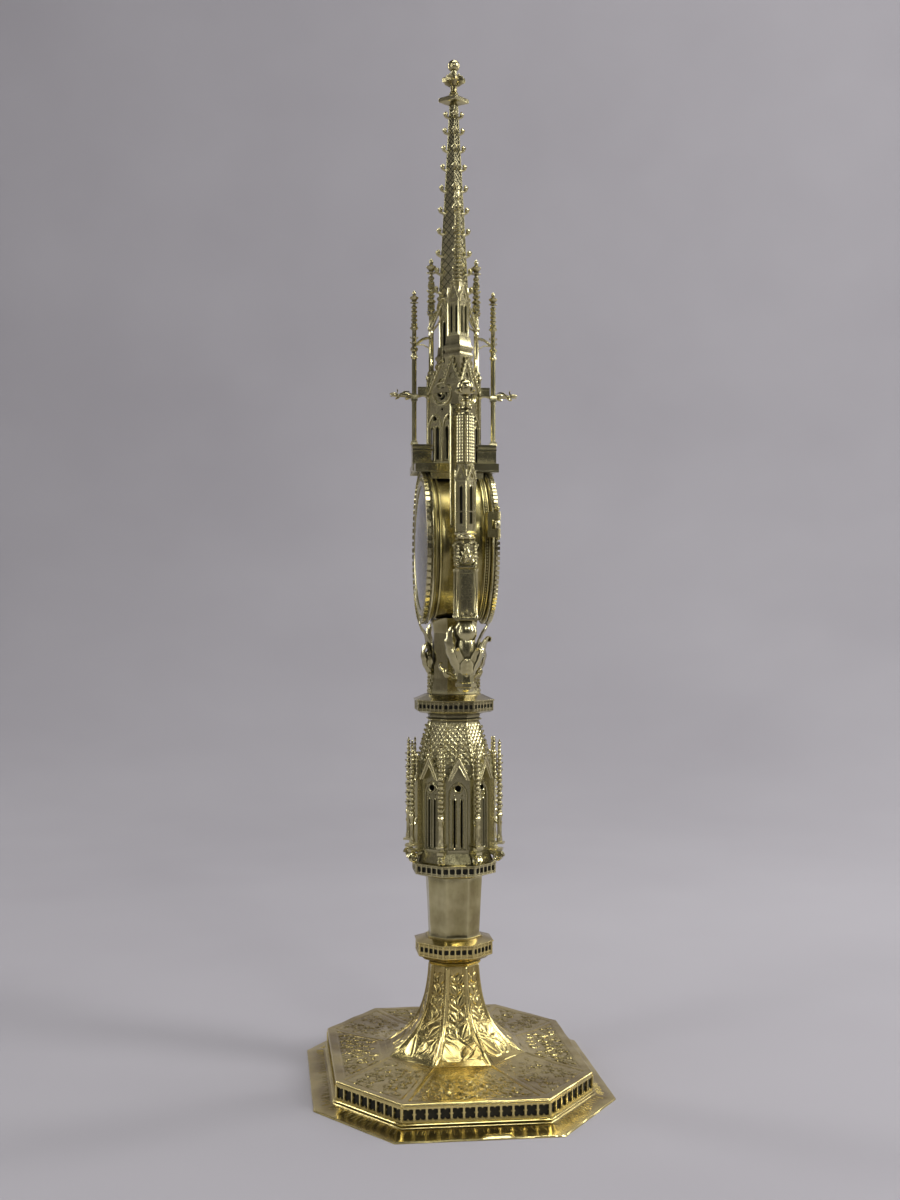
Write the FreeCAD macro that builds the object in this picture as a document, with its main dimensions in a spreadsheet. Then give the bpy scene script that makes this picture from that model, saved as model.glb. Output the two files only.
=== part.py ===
import FreeCAD, Part
import math
import os

import Sketcher
from FreeCAD import Placement, Rotation, Vector

# Gothic tower monstrance: foot, stem with a chapel knop, glazed capsule with a hinged rear door, and a
# spired canopy. Origin at the centre of the base on the floor, +Z up, glass front towards -Y, the two
# side piers at +X ("right") and -X ("left").

os.makedirs("parts", exist_ok=True)
doc = FreeCAD.newDocument("Monstrance")
sheet = doc.addObject("Spreadsheet::Sheet", "dims")

DIMENSIONS = {
    # foot: outer flange and the plate above it are rectangles with cut corners
    "flange_half_x": 113.0,
    "flange_half_y": 84.8,
    "flange_flat_x": 57.0,
    "flange_flat_y": 45.0,
    "plate_half_x": 97.0,
    "plate_half_y": 72.2,
    "plate_flat_x": 53.5,
    "plate_flat_y": 39.8,
    "flange_top": 2.4,
    "gallery_base": 5.4,
    "gallery_top": 13.4,
    "plate_top": 15.2,
    "gallery_bay": 6.4,
    "gallery_bar": 1.7,
    "sheet_metal": 1.4,
    "neck_base": 67.0,
    "neck_apothem": 13.2,
    # stem and knop
    "rod_radius": 3.0,
    "rod_bore": 3.4,
    "rod_base": 50.0,
    "collar_height": 16.4,
    "collar_radius": 23.6,
    "lower_stem_height": 35.1,
    "lower_stem_radius": 17.2,
    "stem_wall": 1.4,
    "knop_base_height": 15.5,
    "knop_base_radius": 25.6,
    "knop_wall_height": 51.0,
    "knop_radius": 22.0,
    "knop_reach": 30.4,
    "knop_roof_height": 24.0,
    "knop_roof_radius": 21.8,
    "pinnacle_top": 199.0,
    "buttress_width": 3.2,
    "upper_ring_height": 3.2,
    "upper_ring_radius": 16.3,
    "upper_collar_height": 13.8,
    "upper_collar_radius": 24.2,
    "upper_stem_height": 44.0,
    "upper_stem_radius": 14.7,
    "curl_radius": 5.0,
    # capsule
    "drum_level": 311.2,
    "drum_radius": 41.5,
    "drum_bore": 39.4,
    "drum_half_depth": 15.8,
    "bezel_radius": 45.5,
    "bezel_opening": 36.4,
    "bezel_depth": 4.6,
    "glass_radius": 38.2,
    "glass_thickness": 1.6,
    "glass_bulge": 2.6,
    "door_gap": 0.4,
    # rear door hinge and its turn button
    "hinge_x": 48.6,
    "hinge_y": 18.5,
    "hinge_level": 323.0,
    "knuckle_radius": 1.9,
    "knuckle_height": 4.6,
    "hinge_pin_radius": 0.8,
    "running_gap": 0.05,
    "latch_x": 49.2,
    "latch_post_radius": 0.9,
    "latch_length": 12.0,
    "latch_width": 3.4,
    # lunula
    "rail_width": 12.0,
    "rail_length": 26.0,
    "rail_height": 5.0,
    "lunula_slot": 4.0,
    "lunula_radius": 26.0,
    "lunula_wire": 1.3,
    # side piers
    "pier_x": 52.6,
    "bracket_base": 229.0,
    "bulb_base": 255.0,
    "bulb_radius": 6.6,
    "niche_base": 269.0,
    "niche_half": 5.9,
    "canopy_base": 300.0,
    "shaft_base": 317.0,
    "shaft_radius": 5.3,
    "shaft_top": 356.0,
    "pier_tip": 391.0,
    "knob_level": 399.5,
    "knob_radius": 4.4,
    # tower and spire
    "saddle_top": 360.0,
    "saddle_half_x": 17.0,
    "saddle_half_y": 24.4,
    "tower_radius": 15.8,
    "tower_top": 413.0,
    "tower_wall": 1.4,
    "gable_tip": 421.0,
    "post_y": 22.8,
    "post_half": 1.5,
    "pedestal_top": 371.6,
    "post_top": 450.0,
    "post_tip": 463.0,
    "gargoyle_level": 401.0,
    "gargoyle_reach": 38.0,
    "flyer_level": 431.0,
    "turret_x": 20.4,
    "turret_radius": 7.8,
    "turret_base": 407.0,
    "turret_block_height": 26.0,
    "turret_shaft_radius": 5.5,
    "turret_shaft_top": 466.0,
    "turret_tip": 520.0,
    "inner_pinnacle_y": 13.4,
    "inner_pinnacle_tip": 482.0,
    "lantern_radius": 9.4,
    "spire_base": 457.0,
    "spire_radius": 8.6,
    "spire_tip_radius": 2.4,
    "finial_base": 573.0,
    "finial_radius": 9.1,
    "crown_base": 579.0,
    "crown_radius": 7.6,
    "ball_radius": 3.6,
    "object_height": 600.0,
}

for row, (alias, value) in enumerate(DIMENSIONS.items(), start=1):
    sheet.set(f"A{row}", alias)
    sheet.set(f"B{row}", str(value))
    sheet.setAlias(f"B{row}", alias)
doc.recompute()

OCTAGON_TURN = 22.5
SIDES = ((1, "right"), (-1, "left"))
ENDS = ((-1, "front"), (1, "rear"))
Z_AXIS = Vector(0, 0, 1)
pieces = []


def size(alias):
    """A dimension from the sheet, in millimetres."""
    return float(sheet.get(alias))


def piece(obj, label):
    """Names a finished sub-part and lists it for export."""
    obj.Label = label
    pieces.append(obj)
    return obj


def fuse(name, parts):
    joined = doc.addObject("Part::MultiFuse", name)
    joined.Shapes = parts
    joined.Refine = True
    return joined


def cut(name, base, tool):
    result = doc.addObject("Part::Cut", name)
    result.Base = base
    result.Tool = tool
    return result


def cut_each(name, base, tools):
    """Cuts several neighbours out of one solid, one after the other."""
    for number, tool in enumerate(tools):
        base = cut(f"{name}_{number}", base, tool)
    return base


def box(name, low, high):
    """Box between two corners given as expressions of the sheet."""
    block = doc.addObject("Part::Box", name)
    for length, axis, start, end in zip(("Length", "Width", "Height"), "xyz", low, high):
        block.setExpression(length, f"({end}) - ({start})")
        block.setExpression(f"Placement.Base.{axis}", start)
    return block


def rod(name, radius, length, at, direction=Z_AXIS):
    """Cylinder with its foot at a point given as expressions."""
    cylinder = doc.addObject("Part::Cylinder", name)
    cylinder.Placement = Placement(Vector(), Rotation(Z_AXIS, direction))
    cylinder.setExpression("Radius", radius)
    cylinder.setExpression("Height", length)
    for axis, place in zip("xyz", at):
        cylinder.setExpression(f"Placement.Base.{axis}", place)
    return cylinder


def ball(name, radius, at):
    sphere = doc.addObject("Part::Sphere", name)
    sphere.setExpression("Radius", radius)
    for axis, place in zip("xyz", at):
        sphere.setExpression(f"Placement.Base.{axis}", place)
    return sphere


def frustum(name, low, high, sides, turn, at):
    """Solid between two polygons; low and high are (radius, level) pairs of expressions."""
    rings = []
    for end, (radius, level) in (("low", low), ("high", high)):
        ring = doc.addObject("Part::RegularPolygon", f"{name}_{end}")
        ring.Polygon = sides
        ring.Placement = Placement(Vector(), Rotation(Z_AXIS, turn))
        ring.setExpression("Circumradius", radius)
        ring.setExpression("Placement.Base.x", at[0])
        ring.setExpression("Placement.Base.y", at[1])
        ring.setExpression("Placement.Base.z", level)
        rings.append(ring)
    loft = doc.addObject("Part::Loft", name)
    loft.Sections = rings
    loft.Solid = True
    loft.Ruled = True
    return loft


def stack(name, base, top, radius, profile, sides=8, turn=OCTAGON_TURN, at=("0", "0")):
    """Polygonal column from level base to level top. Each profile row is a share of the height and a
    share of the radius, and two rows at one height make a step."""
    segments = []
    for number, (low, high) in enumerate(zip(profile, profile[1:])):
        if low[0] == high[0]:
            continue
        ends = [
            (f"({radius}) * {share}", f"({base}) + (({top}) - ({base})) * {rise}")
            for rise, share in (low, high)
        ]
        segments.append(frustum(f"{name}_{number}", *ends, sides, turn, at))
    return segments[0] if len(segments) == 1 else fuse(f"{name}_column", segments)


def bored(name, base, bottom, length):
    """Cuts the hole for the tie rod along the axis."""
    hole = rod(f"{name}_hole", "dims.rod_bore", length, ("0", "0", bottom))
    return cut(f"{name}_bored", base, hole)


def origin_plane(body, role):
    return next(item for item in body.Origin.OriginFeatures if item.Role == role)


def outline(sketch, corners):
    """Closed polygon whose corners are pairs of expressions, each bound to the sheet."""
    places = [
        Vector(float(sketch.evalExpression(across)), float(sketch.evalExpression(up)), 0)
        for across, up in corners
    ]
    first = sketch.GeometryCount
    count = len(corners)
    for number, place in enumerate(places):
        sketch.addGeometry(Part.LineSegment(place, places[(number + 1) % count]))
    for number in range(count):
        line = first + number
        following = first + (number + 1) % count
        sketch.addConstraint(Sketcher.Constraint("Coincident", line, 2, following, 1))
    for number, (across, up) in enumerate(corners):
        for kind, expression, value in (
            ("DistanceX", across, places[number].x),
            ("DistanceY", up, places[number].y),
        ):
            index = sketch.addConstraint(Sketcher.Constraint(kind, -1, 1, first + number, 1, value))
            sketch.setExpression(f"Constraints[{index}]", expression)


def new_sketch(body, name, role):
    sketch = body.newObject("Sketcher::SketchObject", name)
    sketch.AttachmentSupport = [(origin_plane(body, role), "")]
    sketch.MapMode = "FlatFace"
    return sketch


def foot_ring_corners(share):
    """Corners of a foot outline: share 0 is the upper plate's edge, share 1 the flange's edge."""
    def blend(name):
        return f"(dims.plate_{name} + (dims.flange_{name} - dims.plate_{name}) * {share})"

    quarter = ((blend("half_x"), blend("flat_y")), (blend("flat_x"), blend("half_y")))
    signs = ((1, 1, (0, 1)), (-1, 1, (1, 0)), (-1, -1, (0, 1)), (1, -1, (1, 0)))
    return [
        (f"{sign_x} * {quarter[pick][0]}", f"{sign_y} * {quarter[pick][1]}")
        for sign_x, sign_y, order in signs
        for pick in order
    ]


def foot_ring(label, base, top, outer, inner):
    """Ring of constant section that follows the foot's outline."""
    body = doc.addObject("PartDesign::Body", label)
    sketch = new_sketch(body, f"{label}_outline", "XY_Plane")
    outline(sketch, foot_ring_corners(outer))
    outline(sketch, foot_ring_corners(inner))
    pad = body.newObject("PartDesign::Pad", f"{label}_pad")
    pad.Profile = sketch
    pad.setExpression("Length", f"({top}) - ({base})")
    body.setExpression("Placement.Base.z", base)
    return body


def turned(label, profile):
    """Ring or disc turned about the capsule's axis; profile corners are (depth, radius)."""
    body = doc.addObject("PartDesign::Body", label)
    sketch = new_sketch(body, f"{label}_section", "YZ_Plane")
    outline(sketch, profile)
    revolve = body.newObject("PartDesign::Revolution", f"{label}_turn")
    revolve.Profile = sketch
    revolve.ReferenceAxis = (sketch, ["H_Axis"])
    revolve.Angle = 360
    body.setExpression("Placement.Base.z", "dims.drum_level")
    return body


def feature(name, shape):
    """Shape made directly from the sheet's sizes."""
    obj = doc.addObject("Part::Feature", name)
    obj.Shape = shape
    return obj


def around(shape, count, start=0.0):
    """Copies of a shape turned about the vertical axis."""
    return [
        shape.copy().rotate(Vector(), Z_AXIS, start + 360.0 * number / count)
        for number in range(count)
    ]


def upright_plate(corners, near, far):
    """Flat plate standing on the X = near plane, with its outline given as (Y, Z) corners."""
    points = [Vector(near, across, up) for across, up in corners]
    wire = Part.makePolygon(points + points[:1])
    return Part.Face(wire).extrude(Vector(far - near, 0, 0))


# ---------------------------------------------------------------- foot

piece(foot_ring("foot_flange", "0", "dims.flange_top", 1.0, -0.5), "foot_flange")
piece(
    foot_ring("foot_moulding", "dims.flange_top", "dims.gallery_base", 0.08, -0.42), "foot_moulding"
)
GALLERY_FACE = -0.04
GALLERY_BACK = -0.14
BACKING_BACK = -0.2
GALLERY_LEVELS = ("dims.gallery_base", "dims.gallery_top")
gallery_wall = foot_ring("gallery_wall", *GALLERY_LEVELS, GALLERY_FACE, GALLERY_BACK)
piece(
    foot_ring("gallery_backing", *GALLERY_LEVELS, GALLERY_BACK, BACKING_BACK), "gallery_backing"
)


def foot_corners(half_x, half_y, flat_x, flat_y, level=0.0):
    """Eight corners of a foot outline at one level, anticlockwise from the +X side."""
    return [
        Vector(x, y, level)
        for x, y in (
            (half_x, -flat_y), (half_x, flat_y), (flat_x, half_y), (-flat_x, half_y),
            (-half_x, flat_y), (-half_x, -flat_y), (-flat_x, -half_y), (flat_x, -half_y),
        )
    ]


def gallery_bays():
    """Square bays through every side of the gallery, evenly spaced along it."""
    plate = [size(f"plate_{name}") for name in ("half_x", "half_y", "flat_x", "flat_y")]
    flange = [size(f"flange_{name}") for name in ("half_x", "half_y", "flat_x", "flat_y")]
    outline_sizes = [low + (high - low) * GALLERY_FACE for low, high in zip(plate, flange)]
    corners = foot_corners(*outline_sizes)
    base = size("gallery_base") + 0.8
    bay_height = size("gallery_top") - size("gallery_base") - 1.6
    depth = 3.0
    bays = []
    for start, end in zip(corners, corners[1:] + corners[:1]):
        side = end - start
        count = int(side.Length / size("gallery_bay"))
        bay = side.Length / (count + 0.4)
        angle = math.degrees(math.atan2(side.y, side.x))
        for number in range(count):
            opening = Part.makeBox(bay - size("gallery_bar"), 2 * depth, bay_height)
            along = (number + 0.2) * bay + size("gallery_bar") / 2
            opening.translate(Vector(along, -depth, base))
            opening.rotate(Vector(), Z_AXIS, angle)
            opening.translate(start)
            bays.append(opening)
    return Part.makeCompound(bays)


foot_gallery = cut("foot_gallery", gallery_wall, feature("gallery_openings", gallery_bays()))
piece(foot_gallery, "foot_gallery")


def foot_section(half_x, half_y, flat_x, flat_y, level):
    """Eight-cornered wire of the foot at one level."""
    points = foot_corners(half_x, half_y, flat_x, flat_y, level)
    return Part.makePolygon(points + points[:1])


# shares of the neck's height and of the narrowest apothem
NECK_FLARE = ((0.03, 3.0), (0.1, 2.5), (0.23, 1.98), (0.41, 1.56), (0.64, 1.24), (0.83, 1.07), (1.0, 1.0))


def foot_body(shrink):
    """Plate and concave neck of the foot as one solid, drawn in by shrink on every side."""
    plate = [size(f"plate_{name}") - shrink for name in ("half_x", "half_y", "flat_x", "flat_y")]
    plate_top = size("plate_top") - shrink
    neck_top = size("neck_base") - shrink
    sections = [foot_section(*plate, size("gallery_top")), foot_section(*plate, plate_top)]
    rise = neck_top - plate_top
    for lift, apothem in NECK_FLARE:
        reach = size("neck_apothem") * apothem - shrink
        half_side = reach * math.tan(math.radians(OCTAGON_TURN))
        sections.append(
            foot_section(reach, reach, half_side, half_side, plate_top + rise * lift)
        )
    solids = [
        Part.makeLoft([low, high], True, True) for low, high in zip(sections, sections[1:])
    ]
    return solids[0].fuse(solids[1:]).removeSplitter()


foot_outer = feature("foot_outer", foot_body(0.0))
foot_inner = feature("foot_inner", foot_body(size("sheet_metal")))
foot_shell = cut("foot_shell", foot_outer, foot_inner)
SEAM = f"(dims.plate_top + (dims.neck_base - dims.plate_top) * {NECK_FLARE[0][0]})"
below_seam = box(
    "below_seam",
    ("-dims.plate_half_x", "-dims.plate_half_y", "0"),
    ("dims.plate_half_x", "dims.plate_half_y", SEAM),
)
foot_plate = doc.addObject("Part::Common", "foot_plate")
foot_plate.Base = foot_shell
foot_plate.Tool = below_seam
piece(foot_plate, "foot_plate")
foot_neck = cut("foot_neck_shell", foot_shell, below_seam)
piece(bored("foot_neck", foot_neck, "dims.neck_base - 10", "20"), "foot_neck")

# ---------------------------------------------------------------- stem and knop

NECK_TOP = "dims.neck_base + dims.collar_height"
STEM_TOP = f"{NECK_TOP} + dims.lower_stem_height"
KNOP_FLOOR = f"{STEM_TOP} + dims.knop_base_height"
KNOP_EAVES = f"{KNOP_FLOOR} + dims.knop_wall_height"
ROOF_TOP = f"{KNOP_EAVES} + dims.knop_roof_height"
RING_TOP = f"{ROOF_TOP} + dims.upper_ring_height"
COLLAR_TOP = f"{RING_TOP} + dims.upper_collar_height"
UPPER_STEM_TOP = f"{COLLAR_TOP} + dims.upper_stem_height"

STRAIGHT = ((0, 1), (1, 1))
COLLAR_PROFILE = (
    (0, 0.66), (0.14, 0.7), (0.14, 0.8), (0.36, 0.94), (0.36, 1),
    (0.82, 1), (0.82, 0.94), (0.95, 0.72), (1, 0.72),
)
KNOP_BASE_PROFILE = (
    (0, 0.72), (0.1, 0.9), (0.16, 0.9), (0.16, 1), (0.54, 1), (0.54, 0.96), (0.94, 0.82), (1, 0.82),
)


def stem_piece(label, base, top, radius, profile):
    column = stack(label, base, top, radius, profile)
    return piece(bored(label, column, f"({base}) - 1", f"({top}) - ({base}) + 2"), label)


def stem_tube(label, base, top, radius, profile, wall="dims.stem_wall"):
    """Hollow polygonal tube of even wall."""
    outer = stack(label, base, top, radius, profile)
    inner = stack(f"{label}_hollow", base, top, f"({radius}) - ({wall})", profile)
    return cut(f"{label}_tube", outer, inner)


stem_piece("neck_collar", "dims.neck_base", NECK_TOP, "dims.collar_radius", COLLAR_PROFILE)
piece(
    stem_tube("lower_stem", NECK_TOP, STEM_TOP, "dims.lower_stem_radius", ((0, 0.9), (1, 1))),
    "lower_stem",
)
knop_base = stem_piece("knop_base", STEM_TOP, KNOP_FLOOR, "dims.knop_base_radius", KNOP_BASE_PROFILE)
knop_tube = stem_tube("knop_wall", KNOP_FLOOR, KNOP_EAVES, "dims.knop_radius", STRAIGHT)
doc.recompute()


def level_of(expression):
    """Height of a level written as an expression of the sheet."""
    return float(sheet.evalExpression(expression))


def knop_windows():
    """Two lancets and a round light through each side of the knop."""
    floor = level_of(KNOP_FLOOR)
    reach = size("knop_radius")
    lights = []
    for across in (-2.4, 2.4):
        lancet = Part.makeBox(8, 2.4, 26).translate(Vector(reach - 8, across - 1.2, floor + 3.5))
        head = Part.makeCylinder(1.2, 8, Vector(reach - 8, across, floor + 29.5), Vector(1, 0, 0))
        lights.append(lancet.fuse(head))
    lights.append(Part.makeCylinder(2.4, 8, Vector(reach - 8, 0, floor + 37), Vector(1, 0, 0)))
    one_side = Part.makeCompound(lights)
    return Part.makeCompound(around(one_side, 8))


knop_wall = piece(cut("knop_walls", knop_tube, feature("knop_lights", knop_windows())), "knop_walls")


def knop_buttress():
    """One corner buttress with its corbel and pinnacle, standing out along +X."""
    floor = level_of(KNOP_FLOOR)
    inner = size("knop_radius") + 0.02
    outer = size("knop_reach")
    half = size("buttress_width") / 2
    steps = (
        (inner - 1.0, outer - 3.0, floor, floor + 18.0),
        (inner - 1.0, outer - 4.2, floor + 18.0, floor + 44.0),
        (outer - 4.6, outer - 0.6, floor - 6.5, floor + 4.5),
        (outer - 3.6, outer - 0.6, floor + 4.5, floor + 44.0),
    )
    blocks = [
        Part.makeBox(end - start, 2 * half, top - base, Vector(start, -half, base))
        for start, end, base, top in steps
    ]
    middle = outer - 3.0
    width = 3.4
    rings = []
    for reach, level in ((width / 2, floor + 44.0), (0.4, size("pinnacle_top"))):
        corners = [
            Vector(middle + dx * reach, dy * reach, level)
            for dx, dy in ((-1, -1), (1, -1), (1, 1), (-1, 1))
        ]
        rings.append(Part.makePolygon(corners + corners[:1]))
    pinnacle = Part.makeLoft(rings, True, True)
    return blocks[0].fuse(blocks[1:] + [pinnacle]).removeSplitter()


def knop_gable():
    """One steep gable over a window, lying on the side of the wall along +X."""
    foot = level_of(KNOP_FLOOR) + 42.0
    near = size("knop_radius") * math.cos(math.radians(OCTAGON_TURN))
    corners = ((-6.2, foot), (6.2, foot), (6.2, foot + 1.5), (0, foot + 14.0), (-6.2, foot + 1.5))
    return upright_plate(corners, near, near + 1.4)


buttresses = feature("buttress_ring", Part.makeCompound(around(knop_buttress(), 8, OCTAGON_TURN)))
piece(cut_each("knop_buttresses", buttresses, (knop_base, knop_wall)), "knop_buttresses")
piece(feature("knop_gables", Part.makeCompound(around(knop_gable(), 8))), "knop_gables")
stem_piece("knop_roof", KNOP_EAVES, ROOF_TOP, "dims.knop_roof_radius", ((0, 1), (0.45, 0.8), (1, 0.69)))
stem_piece("upper_ring", ROOF_TOP, RING_TOP, "dims.upper_ring_radius", ((0, 0.92), (0.4, 1), (1, 1)))
stem_piece("upper_collar", RING_TOP, COLLAR_TOP, "dims.upper_collar_radius", COLLAR_PROFILE)

# ---------------------------------------------------------------- capsule

DRUM_PROFILE = [
    ("-dims.drum_half_depth", "dims.drum_bore"),
    ("dims.drum_half_depth", "dims.drum_bore"),
    ("dims.drum_half_depth", "dims.drum_radius + 1.4"),
    ("dims.drum_half_depth - 3", "dims.drum_radius + 1.4"),
    ("dims.drum_half_depth - 3", "dims.drum_radius"),
    ("-dims.drum_half_depth + 4", "dims.drum_radius"),
    ("-dims.drum_half_depth + 4", "dims.drum_radius + 1.4"),
    ("-dims.drum_half_depth", "dims.drum_radius + 1.4"),
]
capsule_drum = piece(turned("capsule_drum", DRUM_PROFILE), "capsule_drum")


def bezel_profile(side, start):
    """Section of a bezel that holds its glass behind a lip; side is -1 for the front, 1 for the rear."""
    return [
        (f"{side} * ({start})", "dims.glass_radius + 0.2"),
        (f"{side} * ({start})", "dims.bezel_radius - 1.4"),
        (f"{side} * ({start} + 1.2)", "dims.bezel_radius"),
        (f"{side} * ({start} + dims.bezel_depth)", "dims.bezel_radius"),
        (f"{side} * ({start} + dims.bezel_depth)", "dims.bezel_opening"),
        (f"{side} * ({start} + dims.bezel_depth - 1.2)", "dims.bezel_opening"),
        (f"{side} * ({start} + dims.bezel_depth - 1.2)", "dims.glass_radius + 0.2"),
    ]


DOME_EDGE = "(dims.bezel_opening - 0.4)"
DOME_SPHERE = f"(({DOME_EDGE} ^ 2 + dims.glass_bulge ^ 2) / (2 * dims.glass_bulge))"


def dome_cap(name, side, plane):
    """Cap of a sphere that stands outwards from a plane at the given depth."""
    outwards = Vector(0, side, 0)
    window_at = ("0", f"{side} * ({plane})", "dims.drum_level")
    window = rod(f"{name}_window", DOME_EDGE, "dims.glass_bulge + 1", window_at, outwards)
    centre = f"{side} * ({plane} + dims.glass_bulge - {DOME_SPHERE})"
    cap = doc.addObject("Part::Common", name)
    cap.Base = ball(f"{name}_sphere", DOME_SPHERE, ("0", centre, "dims.drum_level"))
    cap.Tool = window
    return cap


def glass(label, side, start):
    """Disc of even thickness with a shallow dome outwards; start is the depth of its inner face."""
    disc = rod(
        f"{label}_disc",
        "dims.glass_radius",
        "dims.glass_thickness",
        ("0", f"{side} * ({start})", "dims.drum_level"),
        Vector(0, side, 0),
    )
    swell = dome_cap(f"{label}_swell", side, f"{start} + dims.glass_thickness")
    recess = dome_cap(f"{label}_recess", side, start)
    return piece(cut(label, fuse(f"{label}_solid", [disc, swell]), recess), label)


FRONT_START = "dims.drum_half_depth"
DOOR_START = "dims.drum_half_depth + dims.door_gap"
front_bezel = piece(turned("front_bezel", bezel_profile(-1, FRONT_START)), "front_bezel")
GLASS_START = f"{FRONT_START} + dims.bezel_depth - 1.2 - dims.glass_thickness"
glass("front_glass", -1, GLASS_START)
glass("rear_glass", 1, f"{GLASS_START} + dims.door_gap")
door_ring = turned("door_ring", bezel_profile(1, DOOR_START))

# hinge on the right side of the rear opening: two fixed knuckles and one door knuckle on a pin
HINGE_AT = ("dims.hinge_x", "dims.hinge_y")
KNUCKLE_FOOT = "dims.hinge_level - dims.knuckle_height / 2"


def knuckle(name, base, height, arm_low_y, arm_high_y):
    """Knuckle with an arm that reaches inwards, with no bore yet."""
    barrel = rod(f"{name}_barrel", "dims.knuckle_radius", height, (*HINGE_AT, base))
    arm = box(
        f"{name}_arm",
        ("dims.drum_radius - 3", arm_low_y, base),
        ("dims.hinge_x", arm_high_y, f"{base} + {height}"),
    )
    return fuse(f"{name}_blank", [barrel, arm])


def pin_bore(name):
    return rod(
        name,
        "dims.hinge_pin_radius + dims.running_gap",
        "6 * dims.knuckle_height",
        (*HINGE_AT, "dims.hinge_level - 3 * dims.knuckle_height"),
    )


door_knuckle = knuckle(
    "door_knuckle", KNUCKLE_FOOT, "dims.knuckle_height", "dims.hinge_y - 1.6", "dims.hinge_y + 1.6"
)
opening_clear = rod(
    "opening_clear",
    "dims.glass_radius + 1",
    "60",
    ("0", "-10", "dims.drum_level"),
    Vector(0, 1, 0),
)
door_blank = fuse("door_blank", [door_ring, cut("door_tab", door_knuckle, opening_clear)])
piece(cut("door_frame", door_blank, pin_bore("door_pin_bore")), "door_frame")

fixed_knuckles = []
for place, base in (
    ("lower", f"{KNUCKLE_FOOT} - dims.knuckle_height - 0.3"),
    ("upper", f"{KNUCKLE_FOOT} + dims.knuckle_height + 0.3"),
):
    barrel = rod(f"hinge_{place}", "dims.knuckle_radius", "dims.knuckle_height", (*HINGE_AT, base))
    web = box(
        f"hinge_{place}_web",
        ("dims.hinge_x - dims.knuckle_radius", "dims.drum_half_depth - 3", base),
        ("dims.hinge_x + dims.knuckle_radius", "dims.hinge_y", f"{base} + dims.knuckle_height"),
    )
    fixed_knuckles += [barrel, web]
leaf = box(
    "hinge_plate",
    ("dims.drum_radius - 6", "dims.drum_half_depth - 3", f"{KNUCKLE_FOOT} - dims.knuckle_height - 0.3"),
    (
        "dims.hinge_x + dims.knuckle_radius",
        "dims.drum_half_depth - 0.4",
        f"{KNUCKLE_FOOT} + 2 * dims.knuckle_height + 0.3",
    ),
)
drum_envelope = rod(
    "drum_envelope",
    "dims.drum_radius + 1.4",
    "2 * dims.drum_half_depth",
    ("0", "-dims.drum_half_depth", "dims.drum_level"),
    Vector(0, 1, 0),
)
leaf_solid = fuse("hinge_leaf_solid", fixed_knuckles + [leaf])
leaf_blank = cut("hinge_leaf_blank", leaf_solid, drum_envelope)
fixed_bore = rod(
    "leaf_pin_bore",
    "dims.hinge_pin_radius",
    "6 * dims.knuckle_height",
    (*HINGE_AT, "dims.hinge_level - 3 * dims.knuckle_height"),
)
piece(cut("hinge_leaf", leaf_blank, fixed_bore), "hinge_leaf")
PIN_FOOT = f"{KNUCKLE_FOOT} - dims.knuckle_height - 1.5"
PIN_LENGTH = "3 * dims.knuckle_height + 3.6"
pin_shank = rod("hinge_pin_shank", "dims.hinge_pin_radius", PIN_LENGTH, (*HINGE_AT, PIN_FOOT))
pin_head = ball(
    "hinge_pin_head",
    "dims.knuckle_radius * 0.8",
    (*HINGE_AT, f"{PIN_FOOT} + {PIN_LENGTH}"),
)
piece(fuse("hinge_pin", [pin_shank, pin_head]), "hinge_pin")

# turn button on the left side: it hangs clear at rest and turns in over the door's rim
LATCH_PLANE = "dims.drum_half_depth + dims.door_gap + dims.bezel_depth + 0.4"
lug = box(
    "latch_lug",
    ("-dims.latch_x - 2.4", "dims.drum_half_depth - 4", "dims.drum_level - 3"),
    ("-dims.drum_radius + 3", "dims.drum_half_depth - 0.4", "dims.drum_level + 3"),
)
post = rod(
    "latch_pivot",
    "dims.latch_post_radius",
    f"{LATCH_PLANE} + 1.9 - dims.drum_half_depth + 1",
    ("-dims.latch_x", "dims.drum_half_depth - 1", "dims.drum_level"),
    Vector(0, 1, 0),
)
shoulder = rod(
    "latch_shoulder",
    "dims.latch_post_radius * 1.8",
    f"{LATCH_PLANE} - 0.2 - dims.drum_half_depth + 1",
    ("-dims.latch_x", "dims.drum_half_depth - 1", "dims.drum_level"),
    Vector(0, 1, 0),
)
head = rod(
    "latch_head",
    "dims.latch_post_radius * 1.8",
    "1",
    ("-dims.latch_x", f"{LATCH_PLANE} + 1.6", "dims.drum_level"),
    Vector(0, 1, 0),
)
latch_solid = fuse("latch_solid", [lug, post, shoulder, head])
piece(cut("latch_post", latch_solid, drum_envelope), "latch_post")
bar = box(
    "latch_bar",
    ("-dims.latch_x - dims.latch_width / 2", LATCH_PLANE, "dims.drum_level - dims.latch_length"),
    ("-dims.latch_x + dims.latch_width / 2", f"{LATCH_PLANE} + 1.4", "dims.drum_level + 2.2"),
)
bar_bore = rod(
    "latch_bar_bore",
    "dims.latch_post_radius + dims.running_gap",
    "10",
    ("-dims.latch_x", f"{LATCH_PLANE} - 4", "dims.drum_level"),
    Vector(0, 1, 0),
)
piece(cut("latch_button", bar, bar_bore), "latch_button")

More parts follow.
